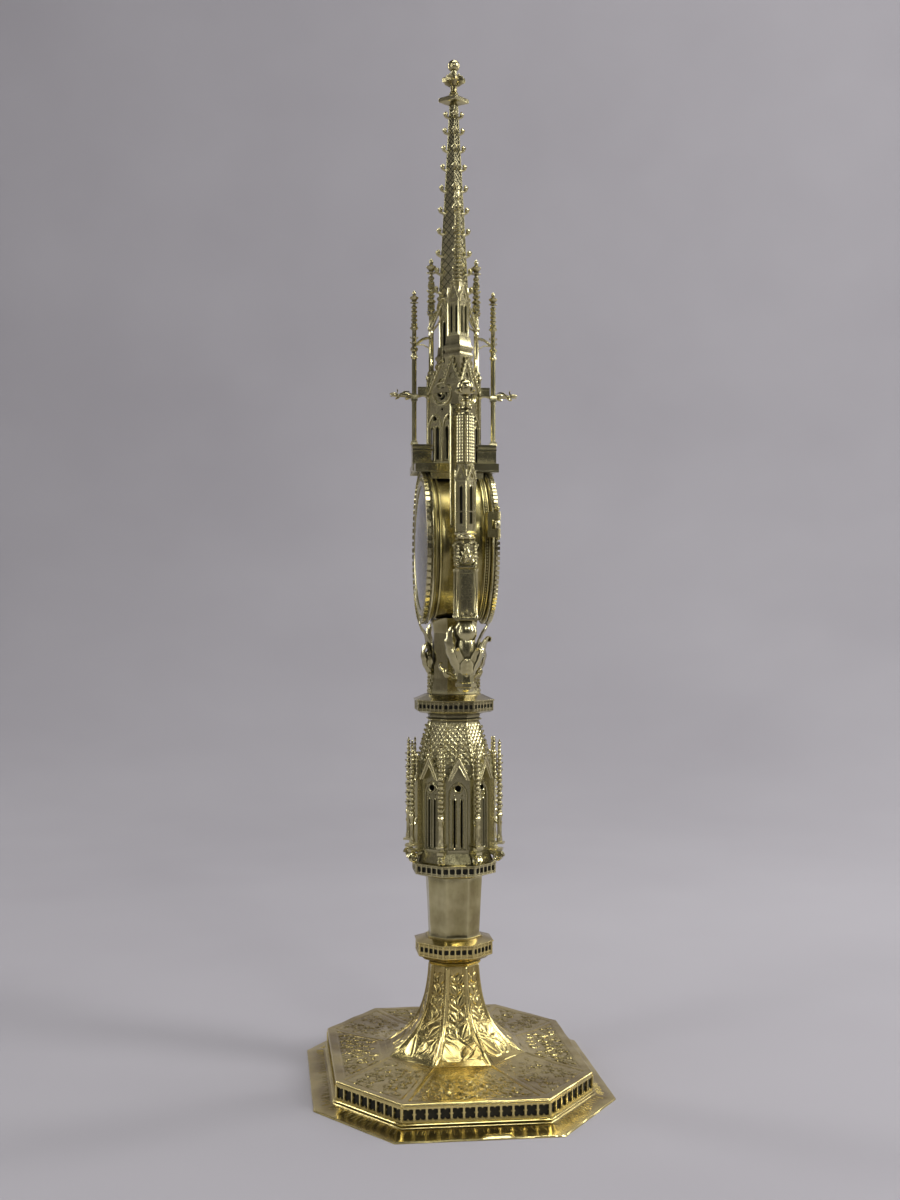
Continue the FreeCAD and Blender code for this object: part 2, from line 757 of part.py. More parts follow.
# lunula: a clip for the host on a foot that slides along a rail on the drum's floor
DRUM_FLOOR = "dims.drum_level - dims.drum_bore"
rail_block = box(
    "rail_block",
    ("-dims.rail_width / 2", "-dims.rail_length / 2", f"{DRUM_FLOOR} - 1"),
    ("dims.rail_width / 2", "dims.rail_length / 2", f"{DRUM_FLOOR} + dims.rail_height"),
)
rail_slot = box(
    "rail_slot",
    ("-dims.lunula_slot / 2", "-dims.rail_length / 2 + 2", f"{DRUM_FLOOR} + 1.6"),
    ("dims.lunula_slot / 2", "dims.rail_length / 2 + 1", f"{DRUM_FLOOR} + dims.rail_height + 1"),
)
rail_channel = cut("rail_channel", rail_block, rail_slot)
piece(cut("lunula_rail", rail_channel, capsule_drum), "lunula_rail")
slider = box(
    "lunula_slider",
    ("-dims.lunula_slot / 2 + 0.15", "-5", f"{DRUM_FLOOR} + 1.8"),
    ("dims.lunula_slot / 2 - 0.15", "5", f"{DRUM_FLOOR} + dims.rail_height + 1.5"),
)
stalk = box(
    "lunula_stalk",
    ("-1.5", "-1.5", f"{DRUM_FLOOR} + dims.rail_height"),
    ("1.5", "1.5", "dims.drum_level - dims.lunula_radius - dims.lunula_wire"),
)
piece(fuse("lunula_foot", [slider, stalk]), "lunula_foot")


def crescents():
    """Two upright crescents, a host's thickness apart, that taper to points at the sides."""
    centre = Vector(0, 0, size("drum_level"))
    radius = size("lunula_radius")
    wire = size("lunula_wire")
    blades = []
    for near in (-1.6, 0.4):
        disc = Part.makeCylinder(radius + wire, 1.2, centre + Vector(0, near, 0), Vector(0, 1, 0))
        hole = Part.makeCylinder(
            radius, 3.2, centre + Vector(0, near - 1, 2.6 * wire), Vector(0, 1, 0)
        )
        upper = Part.makeBox(90, 10, 60, centre + Vector(-45, near - 4, 2.0))
        blades.append(disc.cut(hole).cut(upper))
    spacer = Part.makeBox(6, 0.8, 1.6, centre + Vector(-3, -0.4, -radius - wire + 0.1))
    return blades[0].fuse([blades[1], spacer])


lunula_clip = feature("lunula_blank", crescents())
piece(lunula_clip, "lunula_clip")

# ---------------------------------------------------------------- stem below the capsule

UPPER_STEM_PROFILE = ((0, 1), (0.2, 0.9), (0.8, 0.9), (1, 1))
stem_column = stack(
    "upper_stem", COLLAR_TOP, UPPER_STEM_TOP, "dims.upper_stem_radius", UPPER_STEM_PROFILE
)
stem_bored = bored("upper_stem", stem_column, COLLAR_TOP, "dims.upper_stem_height - 12")
upper_stem = piece(cut("upper_stem_seat", stem_bored, drum_envelope), "upper_stem")

rod_length = f"{UPPER_STEM_TOP} - 14 - dims.rod_base"
tie_rod = rod("tie_rod", "dims.rod_radius", rod_length, ("0", "0", "dims.rod_base"))
piece(tie_rod, "tie_rod")
NUT_TOP = "dims.neck_base - dims.sheet_metal - 2"
washer_blank = rod("washer_disc", "dims.neck_apothem * 0.72", "2", ("0", "0", NUT_TOP))
piece(bored("rod_washer", washer_blank, "dims.neck_base - 20", "30"), "rod_washer")
nut_blank = stack("rod_nut", f"{NUT_TOP} - 6", NUT_TOP, "dims.rod_radius * 2", STRAIGHT, sides=6)
piece(cut("rod_nut", nut_blank, tie_rod), "rod_nut")

# ---------------------------------------------------------------- brackets and piers at the sides

BRACKET_PROFILE = ((0, 0.5), (0.3, 0.75), (0.62, 1), (1, 0.62))
BULB_PROFILE = ((0, 0.62), (0.25, 1), (0.6, 1), (1, 0.8))
CANOPY_PROFILE = ((0, 1), (0.3, 1), (0.3, 1.28), (0.55, 1.28), (0.55, 0.95), (1, 0.9))
NICHE_PROFILE = ((0, 1), (0.08, 1), (0.08, 0.86), (0.92, 0.86), (0.92, 1), (1, 1))
PINNACLE_PROFILE = ((0, 1), (0.3, 1.2), (0.3, 0.72), (0.9, 0.36), (0.9, 0.62), (1, 0.62))
NECK_PROFILE = ((0, 1), (0.3, 1.3), (0.3, 1), (1, 1))

for sign, side in SIDES:
    pier_at = (f"{sign} * dims.pier_x", "0")
    corbel = stack(
        f"corbel_{side}",
        "dims.bracket_base",
        "dims.bulb_base",
        "dims.bulb_radius * 1.6",
        BRACKET_PROFILE,
        at=pier_at,
    )
    stem_side = f"{sign} * dims.upper_stem_radius * 0.7"
    near, far = sorted((stem_side, pier_at[0]), key=level_of)
    arm = box(f"arm_{side}", (near, "-2.6", "dims.bracket_base + 4"), (far, "2.6", "dims.bracket_base + 14"))
    bracket = cut_each(f"leaf_bracket_{side}", fuse(f"bracket_{side}", [corbel, arm]), (upper_stem,))
    piece(bracket, f"leaf_bracket_{side}")
    bulb = stack(
        f"bulb_{side}", "dims.bulb_base", "dims.niche_base", "dims.bulb_radius", BULB_PROFILE, at=pier_at
    )
    niche = stack(
        f"niche_{side}",
        "dims.niche_base",
        "dims.canopy_base",
        "dims.niche_half * 1.414",
        NICHE_PROFILE,
        sides=4,
        turn=45.0,
        at=pier_at,
    )
    piece(fuse(f"pier_niche_{side}", [bulb, niche]), f"pier_niche_{side}")
    canopy = stack(
        f"canopy_{side}",
        "dims.canopy_base",
        "dims.shaft_base",
        "dims.niche_half",
        CANOPY_PROFILE,
        at=pier_at,
    )
    near, far = sorted((f"{sign} * (dims.drum_radius - 4)", pier_at[0]), key=level_of)
    tie = box(f"pier_tie_{side}", (near, "-3", "dims.drum_level - 4"), (far, "3", "dims.drum_level + 3"))
    canopy_blank = fuse(f"canopy_blank_{side}", [canopy, tie])
    piece(cut(f"pier_canopy_{side}", canopy_blank, drum_envelope), f"pier_canopy_{side}")
    diamond = {"sides": 4, "turn": 0.0, "at": pier_at}
    shaft = stack(
        f"shaft_{side}", "dims.shaft_base", "dims.shaft_top", "dims.shaft_radius", STRAIGHT, **diamond
    )
    pinnacle = stack(
        f"pinnacle_{side}",
        "dims.shaft_top",
        "dims.pier_tip",
        "dims.shaft_radius",
        PINNACLE_PROFILE,
        **diamond,
    )
    piece(fuse(f"pier_shaft_{side}", [shaft, pinnacle]), f"pier_shaft_{side}")
    neck = stack(
        f"pier_neck_{side}",
        "dims.pier_tip",
        "dims.knob_level",
        "dims.knob_radius * 0.6",
        NECK_PROFILE,
        at=pier_at,
    )
    knob = ball(f"pier_ball_{side}", "dims.knob_radius", (*pier_at, "dims.knob_level"))
    piece(fuse(f"pier_knob_{side}", [neck, knob]), f"pier_knob_{side}")

# leaf crockets on the front and rear of the stem
CURL_PROFILE = ((0, 0.8), (0.45, 0.7), (0.7, 1.1), (1, 0.7))
curls = [
    stack(
        f"curl_{end}",
        COLLAR_TOP,
        f"{UPPER_STEM_TOP} - 14",
        "dims.curl_radius",
        CURL_PROFILE,
        sides=6,
        at=("0", f"{sign} * (dims.upper_stem_radius + 1.5)"),
    )
    for sign, end in ENDS
]
piece(cut("leaf_crockets", fuse("curls", curls), upper_stem), "leaf_crockets")

# ---------------------------------------------------------------- tower

bezel_envelope = rod(
    "bezel_envelope",
    "dims.bezel_radius + 0.3",
    "80",
    ("0", "-40", "dims.drum_level"),
    Vector(0, 1, 0),
)
saddle_plate = box(
    "saddle_plate",
    ("-dims.saddle_half_x", "-dims.saddle_half_y", "dims.saddle_top - 5"),
    ("dims.saddle_half_x", "dims.saddle_half_y", "dims.saddle_top"),
)
saddle_block = box(
    "saddle_block",
    ("-dims.tower_radius", "-dims.drum_half_depth + 0.4", "dims.drum_level + 20"),
    ("dims.tower_radius", "dims.drum_half_depth - 0.4", "dims.saddle_top - 1"),
)
saddle_shell = cut("saddle_shell", saddle_plate, bezel_envelope)
saddle_core = cut("saddle_core", saddle_block, drum_envelope)
saddle = piece(fuse("tower_saddle", [saddle_shell, saddle_core]), "tower_saddle")

ON_EDGE = {"sides": 4, "turn": 0.0}
tower_outer = stack(
    "tower", "dims.saddle_top", "dims.tower_top", "dims.tower_radius", STRAIGHT, **ON_EDGE
)
tower_inner = stack(
    "tower_hollow",
    "dims.saddle_top",
    "dims.tower_top - 2",
    "dims.tower_radius - 1.414 * dims.tower_wall",
    STRAIGHT,
    **ON_EDGE,
)
tower_tube = cut("tower_tube", tower_outer, tower_inner)


def tower_windows():
    """Two tall lights in each of the four walls."""
    face = size("tower_radius") / math.sqrt(2)
    base = size("saddle_top") + 6
    lights = []
    for across in (-4.2, 4.2):
        lancet = Part.makeBox(6, 5.6, 26).translate(Vector(face - 4, across - 2.8, base))
        head = Part.makeCylinder(2.8, 6, Vector(face - 4, across, base + 26), Vector(1, 0, 0))
        lights.append(lancet.fuse(head))
    lights.append(Part.makeCylinder(5.6, 6, Vector(face - 4, 0, base + 36), Vector(1, 0, 0)))
    return Part.makeCompound(around(Part.makeCompound(lights), 4, 45.0))


tower_walls = piece(cut("tower_walls", tower_tube, feature("tower_lights", tower_windows())), "tower_walls")


def tower_gable():
    """Steep gable that stands on one wall's outer face."""
    near = size("tower_radius") / math.sqrt(2)
    foot = size("tower_top") - 12
    half = 9.4
    brow = foot + 1.5
    corners = ((-half, foot), (half, foot), (half, brow), (0, size("gable_tip")), (-half, brow))
    return upright_plate(corners, near, near + 1.3)


gable_ring = Part.makeCompound(around(tower_gable(), 4, 45.0))
tower_gables = piece(feature("tower_gables", gable_ring), "tower_gables")


def pinnacle_group(points, base, tip, radius):
    """Slender diamond pinnacles with a ball near the tip, one at each (X, Y)."""
    group = []
    for x, y in points:
        levels = ((base, radius), (base + 0.55 * (tip - base), radius), (tip - 4.0, radius * 0.45))
        rings = []
        for level, reach in levels:
            corners = [
                Vector(x + reach * dx, y + reach * dy, level)
                for dx, dy in ((1, 0), (0, 1), (-1, 0), (0, -1))
            ]
            rings.append(Part.makePolygon(corners + corners[:1]))
        lower = Part.makeLoft(rings[:2], True, True)
        upper = Part.makeLoft(rings[1:], True, True)
        tip_ball = Part.makeSphere(radius * 0.9, Vector(x, y, tip - radius * 0.9 - 1.2))
        spike = Part.makeCylinder(radius * 0.25, 3.0, Vector(x, y, tip - 3.0))
        group.append(lower.fuse([upper, tip_ball, spike]).removeSplitter())
    return group


POST_PROFILE = ((0, 1.3), (0.04, 1), (0.7, 1), (0.7, 1.4), (0.73, 1.4), (0.73, 0.9), (1, 0.9))
POST_TIP_PROFILE = ((0, 1), (0.7, 0.4), (0.7, 1.1), (0.9, 1.1), (0.9, 0.4), (1, 0.4))


def spanning_bar(name, start_y, end_y, half_x, base, top):
    """Bar along Y between two levels given as expressions, whichever way round its ends lie."""
    low_y, high_y = sorted((start_y, end_y), key=level_of)
    return box(name, (f"-({half_x})", low_y, base), (half_x, high_y, top))


beasts, links, posts = [], [], {}
for sign, end in ENDS:
    pedestal = spanning_bar(
        f"pedestal_{end}",
        f"{sign} * (dims.post_y - 3.2)",
        f"{sign} * (dims.post_y + 1.4)",
        "3.4",
        "dims.saddle_top",
        "dims.pedestal_top",
    )
    post_at = ("0", f"{sign} * dims.post_y")
    shaft = stack(
        f"post_{end}",
        "dims.pedestal_top",
        "dims.post_top",
        "dims.post_half * 1.414",
        POST_PROFILE,
        sides=4,
        turn=45.0,
        at=post_at,
    )
    tip = stack(
        f"post_tip_{end}", "dims.post_top", "dims.post_tip", "dims.post_half", POST_TIP_PROFILE, at=post_at
    )
    posts[end] = piece(fuse(f"outer_post_{end}", [pedestal, shaft, tip]), f"outer_post_{end}")
    beasts.append(
        spanning_bar(
            f"beast_{end}",
            f"{sign} * (dims.post_y + dims.post_half)",
            f"{sign} * dims.gargoyle_reach",
            "1.6",
            "dims.gargoyle_level - 1.6",
            "dims.gargoyle_level + 1.6",
        )
    )
    links.append(
        spanning_bar(
            f"link_{end}",
            f"{sign} * dims.tower_radius",
            f"{sign} * (dims.post_y - dims.post_half)",
            "1.2",
            "dims.gargoyle_level - 1.2",
            "dims.gargoyle_level + 1.2",
        )
    )
piece(fuse("gargoyles", beasts), "gargoyles")
piece(fuse("tower_links", links), "tower_links")

# ---------------------------------------------------------------- upper tower and spire

LANTERN_PROFILE = ((0, 1), (0.1, 1), (0.1, 0.86), (1, 0.86))
lantern_column = stack(
    "lantern", "dims.tower_top", "dims.spire_base", "dims.lantern_radius", LANTERN_PROFILE, **ON_EDGE
)
lantern = piece(lantern_column, "lantern")
inner_y = size("inner_pinnacle_y")
inner_points = [(0, -inner_y), (0, inner_y)]
inner_pinnacles = pinnacle_group(inner_points, size("tower_top"), size("inner_pinnacle_tip"), 2.2)
inner_group = piece(feature("inner_pinnacles", Part.makeCompound(inner_pinnacles)), "inner_pinnacles")

flyer_bars = [
    spanning_bar(
        f"flyer_{end}",
        f"{sign} * (dims.inner_pinnacle_y + 0.8)",
        f"{sign} * dims.post_y",
        "1",
        "dims.flyer_level",
        "dims.flyer_level + 3",
    )
    for sign, end in ENDS
]
flyers = cut_each("flyers", fuse("flyer_bars", flyer_bars), (*posts.values(), inner_group))
piece(flyers, "flyers")

SUPPORT_PROFILE = ((0, 1), (0.85, 1), (1, 1.2))
BLOCK_PROFILE = ((0, 1), (0.88, 1), (0.88, 1.12), (1, 1.12))
SPIRELET_PROFILE = ((0, 1.1), (0.08, 0.7), (0.84, 0.16), (0.84, 0.55), (0.93, 0.55), (0.93, 0.2), (1, 0.2))
BLOCK_TOP = "dims.turret_base + dims.turret_block_height"
for sign, side in SIDES:
    diamond = {**ON_EDGE, "at": (f"{sign} * dims.turret_x", "0")}
    support = stack(
        f"turret_foot_{side}",
        "dims.saddle_top",
        "dims.turret_base",
        "dims.turret_radius * 0.58",
        SUPPORT_PROFILE,
        **diamond,
    )
    block = stack(
        f"turret_block_{side}",
        "dims.turret_base",
        BLOCK_TOP,
        "dims.turret_radius",
        BLOCK_PROFILE,
        **diamond,
    )
    turret = cut_each(
        f"turret_{side}",
        fuse(f"turret_solid_{side}", [support, block]),
        (tower_outer, saddle, tower_gables, lantern),
    )
    piece(turret, f"side_turret_{side}")
    shaft = stack(
        f"turret_shaft_{side}",
        BLOCK_TOP,
        "dims.turret_shaft_top",
        "dims.turret_shaft_radius",
        STRAIGHT,
        **diamond,
    )
    spirelet = stack(
        f"turret_spire_{side}",
        "dims.turret_shaft_top",
        "dims.turret_tip",
        "dims.turret_shaft_radius",
        SPIRELET_PROFILE,
        **diamond,
    )
    piece(fuse(f"spirelet_{side}", [shaft, spirelet]), f"spirelet_{side}")

spire = frustum(
    "spire",
    ("dims.spire_radius", "dims.spire_base"),
    ("dims.spire_tip_radius", "dims.finial_base"),
    4,
    0.0,
    ("0", "0"),
)
piece(spire, "spire")
PLATE_PROFILE = ((0, 0.35), (0.3, 0.8), (0.3, 1), (0.6, 1), (0.6, 0.8), (1, 0.3))
CROWN_PROFILE = ((0, 0.36), (0.3, 0.36), (0.5, 0.9), (0.8, 1), (0.8, 0.5), (1, 0.4))
finial_plate = stack(
    "finial_plate",
    "dims.finial_base",
    "dims.crown_base",
    "dims.finial_radius",
    PLATE_PROFILE,
    **ON_EDGE,
)
piece(finial_plate, "finial_plate")
CROWN_TOP = "dims.object_height - 2 * dims.ball_radius + 0.6"
finial_crown = stack("finial_crown", "dims.crown_base", CROWN_TOP, "dims.crown_radius", CROWN_PROFILE)
piece(finial_crown, "finial_crown")
ball_blank = ball("finial_sphere", "dims.ball_radius", ("0", "0", "dims.object_height - dims.ball_radius"))
piece(cut("finial_ball", ball_blank, finial_crown), "finial_ball")

# ---------------------------------------------------------------- checks and export

doc.recompute()
for obj in doc.Objects:
    if "Invalid" in obj.State or "Error" in obj.State:
        raise RuntimeError(f"{obj.Name} failed to recompute: {obj.State}")
for obj in pieces:
    if obj.Shape.isNull() or not obj.Shape.isValid() or obj.Shape.Volume <= 0:
        raise RuntimeError(f"{obj.Label} has no valid shape")
    obj.Shape.exportStep(os.path.join("parts", f"{obj.Label}.step"))
print(len(pieces), "sub-parts written")
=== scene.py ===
import math
import random

import bmesh
import bpy
import numpy as np
from mathutils import Matrix, Vector, noise
from mathutils.geometry import tessellate_polygon


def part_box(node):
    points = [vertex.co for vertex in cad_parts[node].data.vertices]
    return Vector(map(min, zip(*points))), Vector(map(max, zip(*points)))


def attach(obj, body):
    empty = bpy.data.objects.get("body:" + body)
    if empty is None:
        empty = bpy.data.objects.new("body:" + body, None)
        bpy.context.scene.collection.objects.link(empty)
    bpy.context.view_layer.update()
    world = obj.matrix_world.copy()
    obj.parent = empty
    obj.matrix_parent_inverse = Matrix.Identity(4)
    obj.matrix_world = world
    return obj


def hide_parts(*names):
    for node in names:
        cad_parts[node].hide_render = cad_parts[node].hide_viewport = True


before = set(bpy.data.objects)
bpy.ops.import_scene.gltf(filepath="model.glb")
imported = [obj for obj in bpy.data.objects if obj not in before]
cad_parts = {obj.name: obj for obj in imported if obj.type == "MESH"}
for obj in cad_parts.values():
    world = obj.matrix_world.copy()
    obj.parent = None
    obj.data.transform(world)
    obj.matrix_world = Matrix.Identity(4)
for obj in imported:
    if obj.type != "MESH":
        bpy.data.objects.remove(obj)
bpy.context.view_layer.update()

# The monstrance's looks: chased gilt sheet, pierced tracery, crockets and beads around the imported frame.
# Shapes are made in millimetres and scaled to metres when their objects are made.

MM = 0.001
TURN = math.radians(22.5)
rng = random.Random(7)
UP = Vector((0, 0, 1))


# ---------------------------------------------------------------- sizes from the frame


def span(node):
    """Lowest and highest corner of a CAD node, in millimetres."""
    low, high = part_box(node)
    return Vector(low) * 1000, Vector(high) * 1000


def base_and_top(node):
    low, high = span(node)
    return low.z, high.z


def half_width(node):
    low, high = span(node)
    return (high.x - low.x) / 2


# ---------------------------------------------------------------- forms: vertices and faces in millimetres


class Form:
    """A growing mesh: points in millimetres, faces, and a material number for each face."""

    def __init__(self):
        self.points = []
        self.faces = []
        self.materials = []

    def add(self, points, faces, material=0):
        start = len(self.points)
        self.points.extend(Vector(point) for point in points)
        self.faces.extend(tuple(start + index for index in face) for face in faces)
        self.materials.extend([material] * len(faces))
        return self

    def join(self, other, matrix=None):
        start = len(self.points)
        flip = matrix is not None and matrix.determinant() < 0
        self.points.extend(matrix @ point if matrix else point.copy() for point in other.points)
        for face, material in zip(other.faces, other.materials):
            order = reversed(face) if flip else face
            self.faces.append(tuple(start + index for index in order))
            self.materials.append(material)
        return self

    def around(self, other, count, start=0.0):
        """Copies of another form turned about the vertical axis."""
        for number in range(count):
            self.join(other, Matrix.Rotation(start + math.tau * number / count, 4, "Z"))
        return self


def loft(rings, closed_ends=True, material=0):
    """Skin through rings that have the same number of points, first to last."""
    form = Form()
    count = len(rings[0])
    points = [point for ring in rings for point in ring]
    faces = []
    for row in range(len(rings) - 1):
        for column in range(count):
            following = (column + 1) % count
            faces.append((
                row * count + column,
                row * count + following,
                (row + 1) * count + following,
                (row + 1) * count + column,
            ))
    if closed_ends:
        faces.append(tuple(reversed(range(count))))
        faces.append(tuple((len(rings) - 1) * count + column for column in range(count)))
    return form.add(points, faces, material)


def ring(radius, level, sides=8, turn=TURN, centre=(0.0, 0.0)):
    return [
        (
            centre[0] + radius * math.cos(turn + math.tau * number / sides),
            centre[1] + radius * math.sin(turn + math.tau * number / sides),
            level,
        )
        for number in range(sides)
    ]


def column(profile, sides=8, turn=TURN, centre=(0.0, 0.0), material=0):
    """Solid of (radius, level) rows on a regular polygon."""
    return loft([ring(radius, level, sides, turn, centre) for radius, level in profile], True, material)


def round_column(profile, segments=20, centre=(0.0, 0.0), material=0):
    return column(profile, segments, 0.0, centre, material)


def box(low, high, material=0):
    (x0, y0, z0), (x1, y1, z1) = low, high
    points = [(x, y, z) for z in (z0, z1) for x, y in ((x0, y0), (x1, y0), (x1, y1), (x0, y1))]
    faces = [(3, 2, 1, 0), (4, 5, 6, 7)] + [
        (side, (side + 1) % 4, (side + 1) % 4 + 4, side + 4) for side in range(4)
    ]
    return Form().add(points, faces, material)


def ball(centre, radius, rows=6, columns=10, squash=1.0, material=0):
    """Round bead, flattened along Z by squash."""
    centre = Vector(centre)
    rings = []
    for row in range(1, rows):
        angle = math.pi * row / rows
        rings.append([
            centre + Vector((
                radius * math.sin(angle) * math.cos(math.tau * number / columns),
                radius * math.sin(angle) * math.sin(math.tau * number / columns),
                -radius * squash * math.cos(angle),
            ))
            for number in range(columns)
        ])
    form = loft(rings, False, material)
    count = len(form.points)
    form.add([centre - UP * radius * squash, centre + UP * radius * squash], [], material)
    last = count - columns
    for number in range(columns):
        following = (number + 1) % columns
        form.faces.append((count, following, number))
        form.faces.append((count + 1, last + number, last + following))
        form.materials += [material, material]
    return form


def tube(path, radius, sides=6, material=0, flat=1.0, closed=False):
    """Round wire along a path; radius is one number or one for each point, flat squeezes it sideways."""
    path = [Vector(point) for point in path]
    radii = radius if isinstance(radius, (list, tuple)) else [radius] * len(path)
    side = None
    rings = []
    last = len(path) - 1
    for number, point in enumerate(path):
        before = path[number - 1] if number or closed else point
        after = path[(number + 1) % len(path)] if number < last or closed else point
        along = (after - before).normalized()
        if side is None:
            helper = UP if abs(along.z) < 0.9 else Vector((1, 0, 0))
            side = along.cross(helper).normalized()
        else:
            side = (side - along * side.dot(along)).normalized()
        other = along.cross(side)
        rings.append([
            point
            + side * radii[number] * flat * math.cos(math.tau * step / sides)
            + other * radii[number] * math.sin(math.tau * step / sides)
            for step in range(sides)
        ])
    if closed:
        rings.append(rings[0])
    return loft(rings, not closed, material)


def plate(outer, holes, near, far, material=0, wall_material=None):
    """Flat plate with holes. Outlines are (across, up) points; it lies between depths near and far,
    with across along X, depth along Y and up along Z."""
    loops = [list(outer)] + [list(hole) for hole in holes]
    flat = [[Vector((across, up, 0)) for across, up in loop] for loop in loops]
    triangles = tessellate_polygon(flat)
    corners = [point for loop in loops for point in loop]
    count = len(corners)
    points = [(across, far, up) for across, up in corners] + [(across, near, up) for across, up in corners]
    faces = []
    for a, b, c in triangles:
        (ax, ay), (bx, by), (cx, cy) = corners[a], corners[b], corners[c]
        area = (bx - ax) * (cy - ay) - (cx - ax) * (by - ay)
        if abs(area) < 1e-9:
            continue
        face = (a, c, b) if area > 0 else (a, b, c)
        faces.append(face)
        faces.append(tuple(count + index for index in reversed(face)))
    form = Form().add(points, faces, material)
    walls = []
    start = 0
    for order, loop in enumerate(loops):
        size = len(loop)
        area = sum(
            loop[i][0] * loop[(i + 1) % size][1] - loop[(i + 1) % size][0] * loop[i][1] for i in range(size)
        )
        outward = (area > 0) == (order == 0)
        for index in range(size):
            a = start + index
            b = start + (index + 1) % size
            wall = (a, b, count + b, count + a)
            walls.append(wall if outward else tuple(reversed(wall)))
        start += size
    for wall in walls:
        form.faces.append(wall)
        form.materials.append(material if wall_material is None else wall_material)
    return form


def facet(angle, distance, level=0.0):
    """Places a form with across X, outward Y and up Z on the side that faces the given angle."""
    outward = Vector((math.cos(angle), math.sin(angle), 0))
    across = outward.cross(UP)
    matrix = Matrix.Identity(4)
    for row in range(3):
        matrix[row][0] = across[row]
        matrix[row][1] = outward[row]
        matrix[row][2] = UP[row]
        matrix[row][3] = outward[row] * distance + UP[row] * level
    return matrix


def part_turn(number, parts):
    """Angle of one of several equal steps round the axis."""
    return math.tau * number / parts


# ---------------------------------------------------------------- outlines for tracery


def circle(x, z, radius, steps=20):
    return [
        (x + radius * math.cos(part_turn(step, steps)), z + radius * math.sin(part_turn(step, steps)))
        for step in range(steps)
    ]


def foil(x, z, radius, lobes=4, depth=0.28, turn=0.0, steps=32):
    """Trefoil, quatrefoil and the like: a circle whose radius swells with each lobe."""
    points = []
    for step in range(steps):
        angle = part_turn(step, steps)
        reach = radius * (1 - depth + depth * abs(math.cos(lobes * (angle - turn) / 2)) ** 0.6)
        points.append((x + reach * math.cos(angle), z + reach * math.sin(angle)))
    return points


def lancet(x, base, spring, half, sharp=1.7, steps=5):
    """Opening with upright sides and a pointed head."""
    radius = half * sharp
    centre = radius - half
    top_angle = math.acos(centre / radius)
    points = [(x + half, base)]
    for step in range(steps + 1):
        angle = top_angle * step / steps
        points.append((x - centre + radius * math.cos(angle), spring + radius * math.sin(angle)))
    for step in range(steps - 1, -1, -1):
        angle = top_angle * step / steps
        points.append((x + centre - radius * math.cos(angle), spring + radius * math.sin(angle)))
    points.append((x - half, base))
    return points


def mouchette(x, z, radius, start, steps=9):
    """Curved dagger that swirls inside a circle."""
    inner, outer = [], []
    for step in range(steps + 1):
        share = step / steps
        angle = start + share * 2.1
        reach = radius * (0.22 + 0.5 * share)
        width = radius * 0.3 * math.sin(math.pi * min(1.0, 0.12 + 0.88 * share) ** 0.8)
        inner.append((x + (reach - width * 0.5) * math.cos(angle),
                      z + (reach - width * 0.5) * math.sin(angle)))
        outer.append((x + (reach + width * 0.8) * math.cos(angle),
                      z + (reach + width * 0.8) * math.sin(angle)))
    return inner[:-1] + outer[::-1]


# ---------------------------------------------------------------- ornament


def crocket(size=1.0):
    """Curled leaf that stands out along +Y and turns up, with two side lobes."""
    path = [(0, -0.35, -0.5), (0, 0.35, -0.35), (0, 0.95, 0.0), (0, 1.15, 0.5), (0, 0.8, 0.85),
            (0, 0.5, 0.62)]
    form = tube([Vector(point) * size for point in path],
                [v * size for v in (0.34, 0.3, 0.32, 0.36, 0.3, 0.16)], 6)
    for side in (-1, 1):
        form.join(ball((side * 0.42 * size, 0.72 * size, 0.28 * size), 0.33 * size, 4, 6))
    return form


def flower(size=1.0):
    """Cross-shaped leaf finial with a bud on top, standing on the origin."""
    form = round_column([(v[0] * size, v[1] * size) for v in
                         ((0.3, -0.2), (0.3, 0.3), (0.55, 0.5), (0.3, 0.7), (0.3, 1.0))], 8)
    for number in range(4):
        form.join(crocket(size * 0.8), facet(part_turn(number, 4), 0.25 * size, 0.75 * size))
    form.join(ball((0, 0, 1.45 * size), 0.42 * size, 5, 8))
    return form


def ringed_tip(radius, base, top, centre=(0.0, 0.0)):
    """Pinnacle end: two thin discs round a bulb, and a small bud."""
    rise = top - base
    rows = (
        (0.35, 0.0), (0.35, 0.14), (1.0, 0.17), (1.05, 0.22), (0.5, 0.27), (0.6, 0.36), (1.05, 0.48),
        (1.1, 0.56),
        (0.6, 0.64), (0.35, 0.7), (0.5, 0.8), (0.42, 0.9), (0.12, 1.0),
    )
    return round_column([(radius * r, base + rise * z) for r, z in rows], 12, centre)


def beaded_shaft(radius, base, top, pitch=2.2, centre=(0.0, 0.0), taper=0.55, sides=8):
    """Slender shaft with rounded beads one above the other."""
    count = max(2, int((top - base) / pitch))
    rows = []
    for number in range(count):
        size = radius * (1 - (1 - taper) * number / count)
        level = base + (top - base) * number / count
        step = (top - base) / count
        rows += [(size * 0.62, level), (size, level + step * 0.25), (size, level + step * 0.6),
                 (size * 0.62, level + step * 0.85)]
    rows.append((radius * taper * 0.5, top))
    return column(rows, sides, TURN, centre)


def in_plane(across, up, depth, outward, along):
    """Places ornament in the plane of a gable: its +Y turns outward and its +Z along the given direction."""
    matrix = Matrix.Identity(4)
    thick = outward.cross(along)
    for row in range(3):
        matrix[row][0] = thick[row]
        matrix[row][1] = outward[row]
        matrix[row][2] = along[row]
    matrix.translation = Vector((across, depth, up))
    return matrix


def raking_crockets(half, foot, apex, depth, count, size):
    """Crockets on both slopes of a gable."""
    form = Form()
    leaf = crocket(size)
    for side in (-1, 1):
        along = Vector((-side * half, 0, apex - foot)).normalized()
        outward = Vector((along.z * side, 0, -along.x * side))
        for number in range(count):
            share = (number + 0.5) / count
            place = (side * half * (1 - share), foot + (apex - foot) * share)
            form.join(leaf, in_plane(*place, depth, outward, along))
    return form


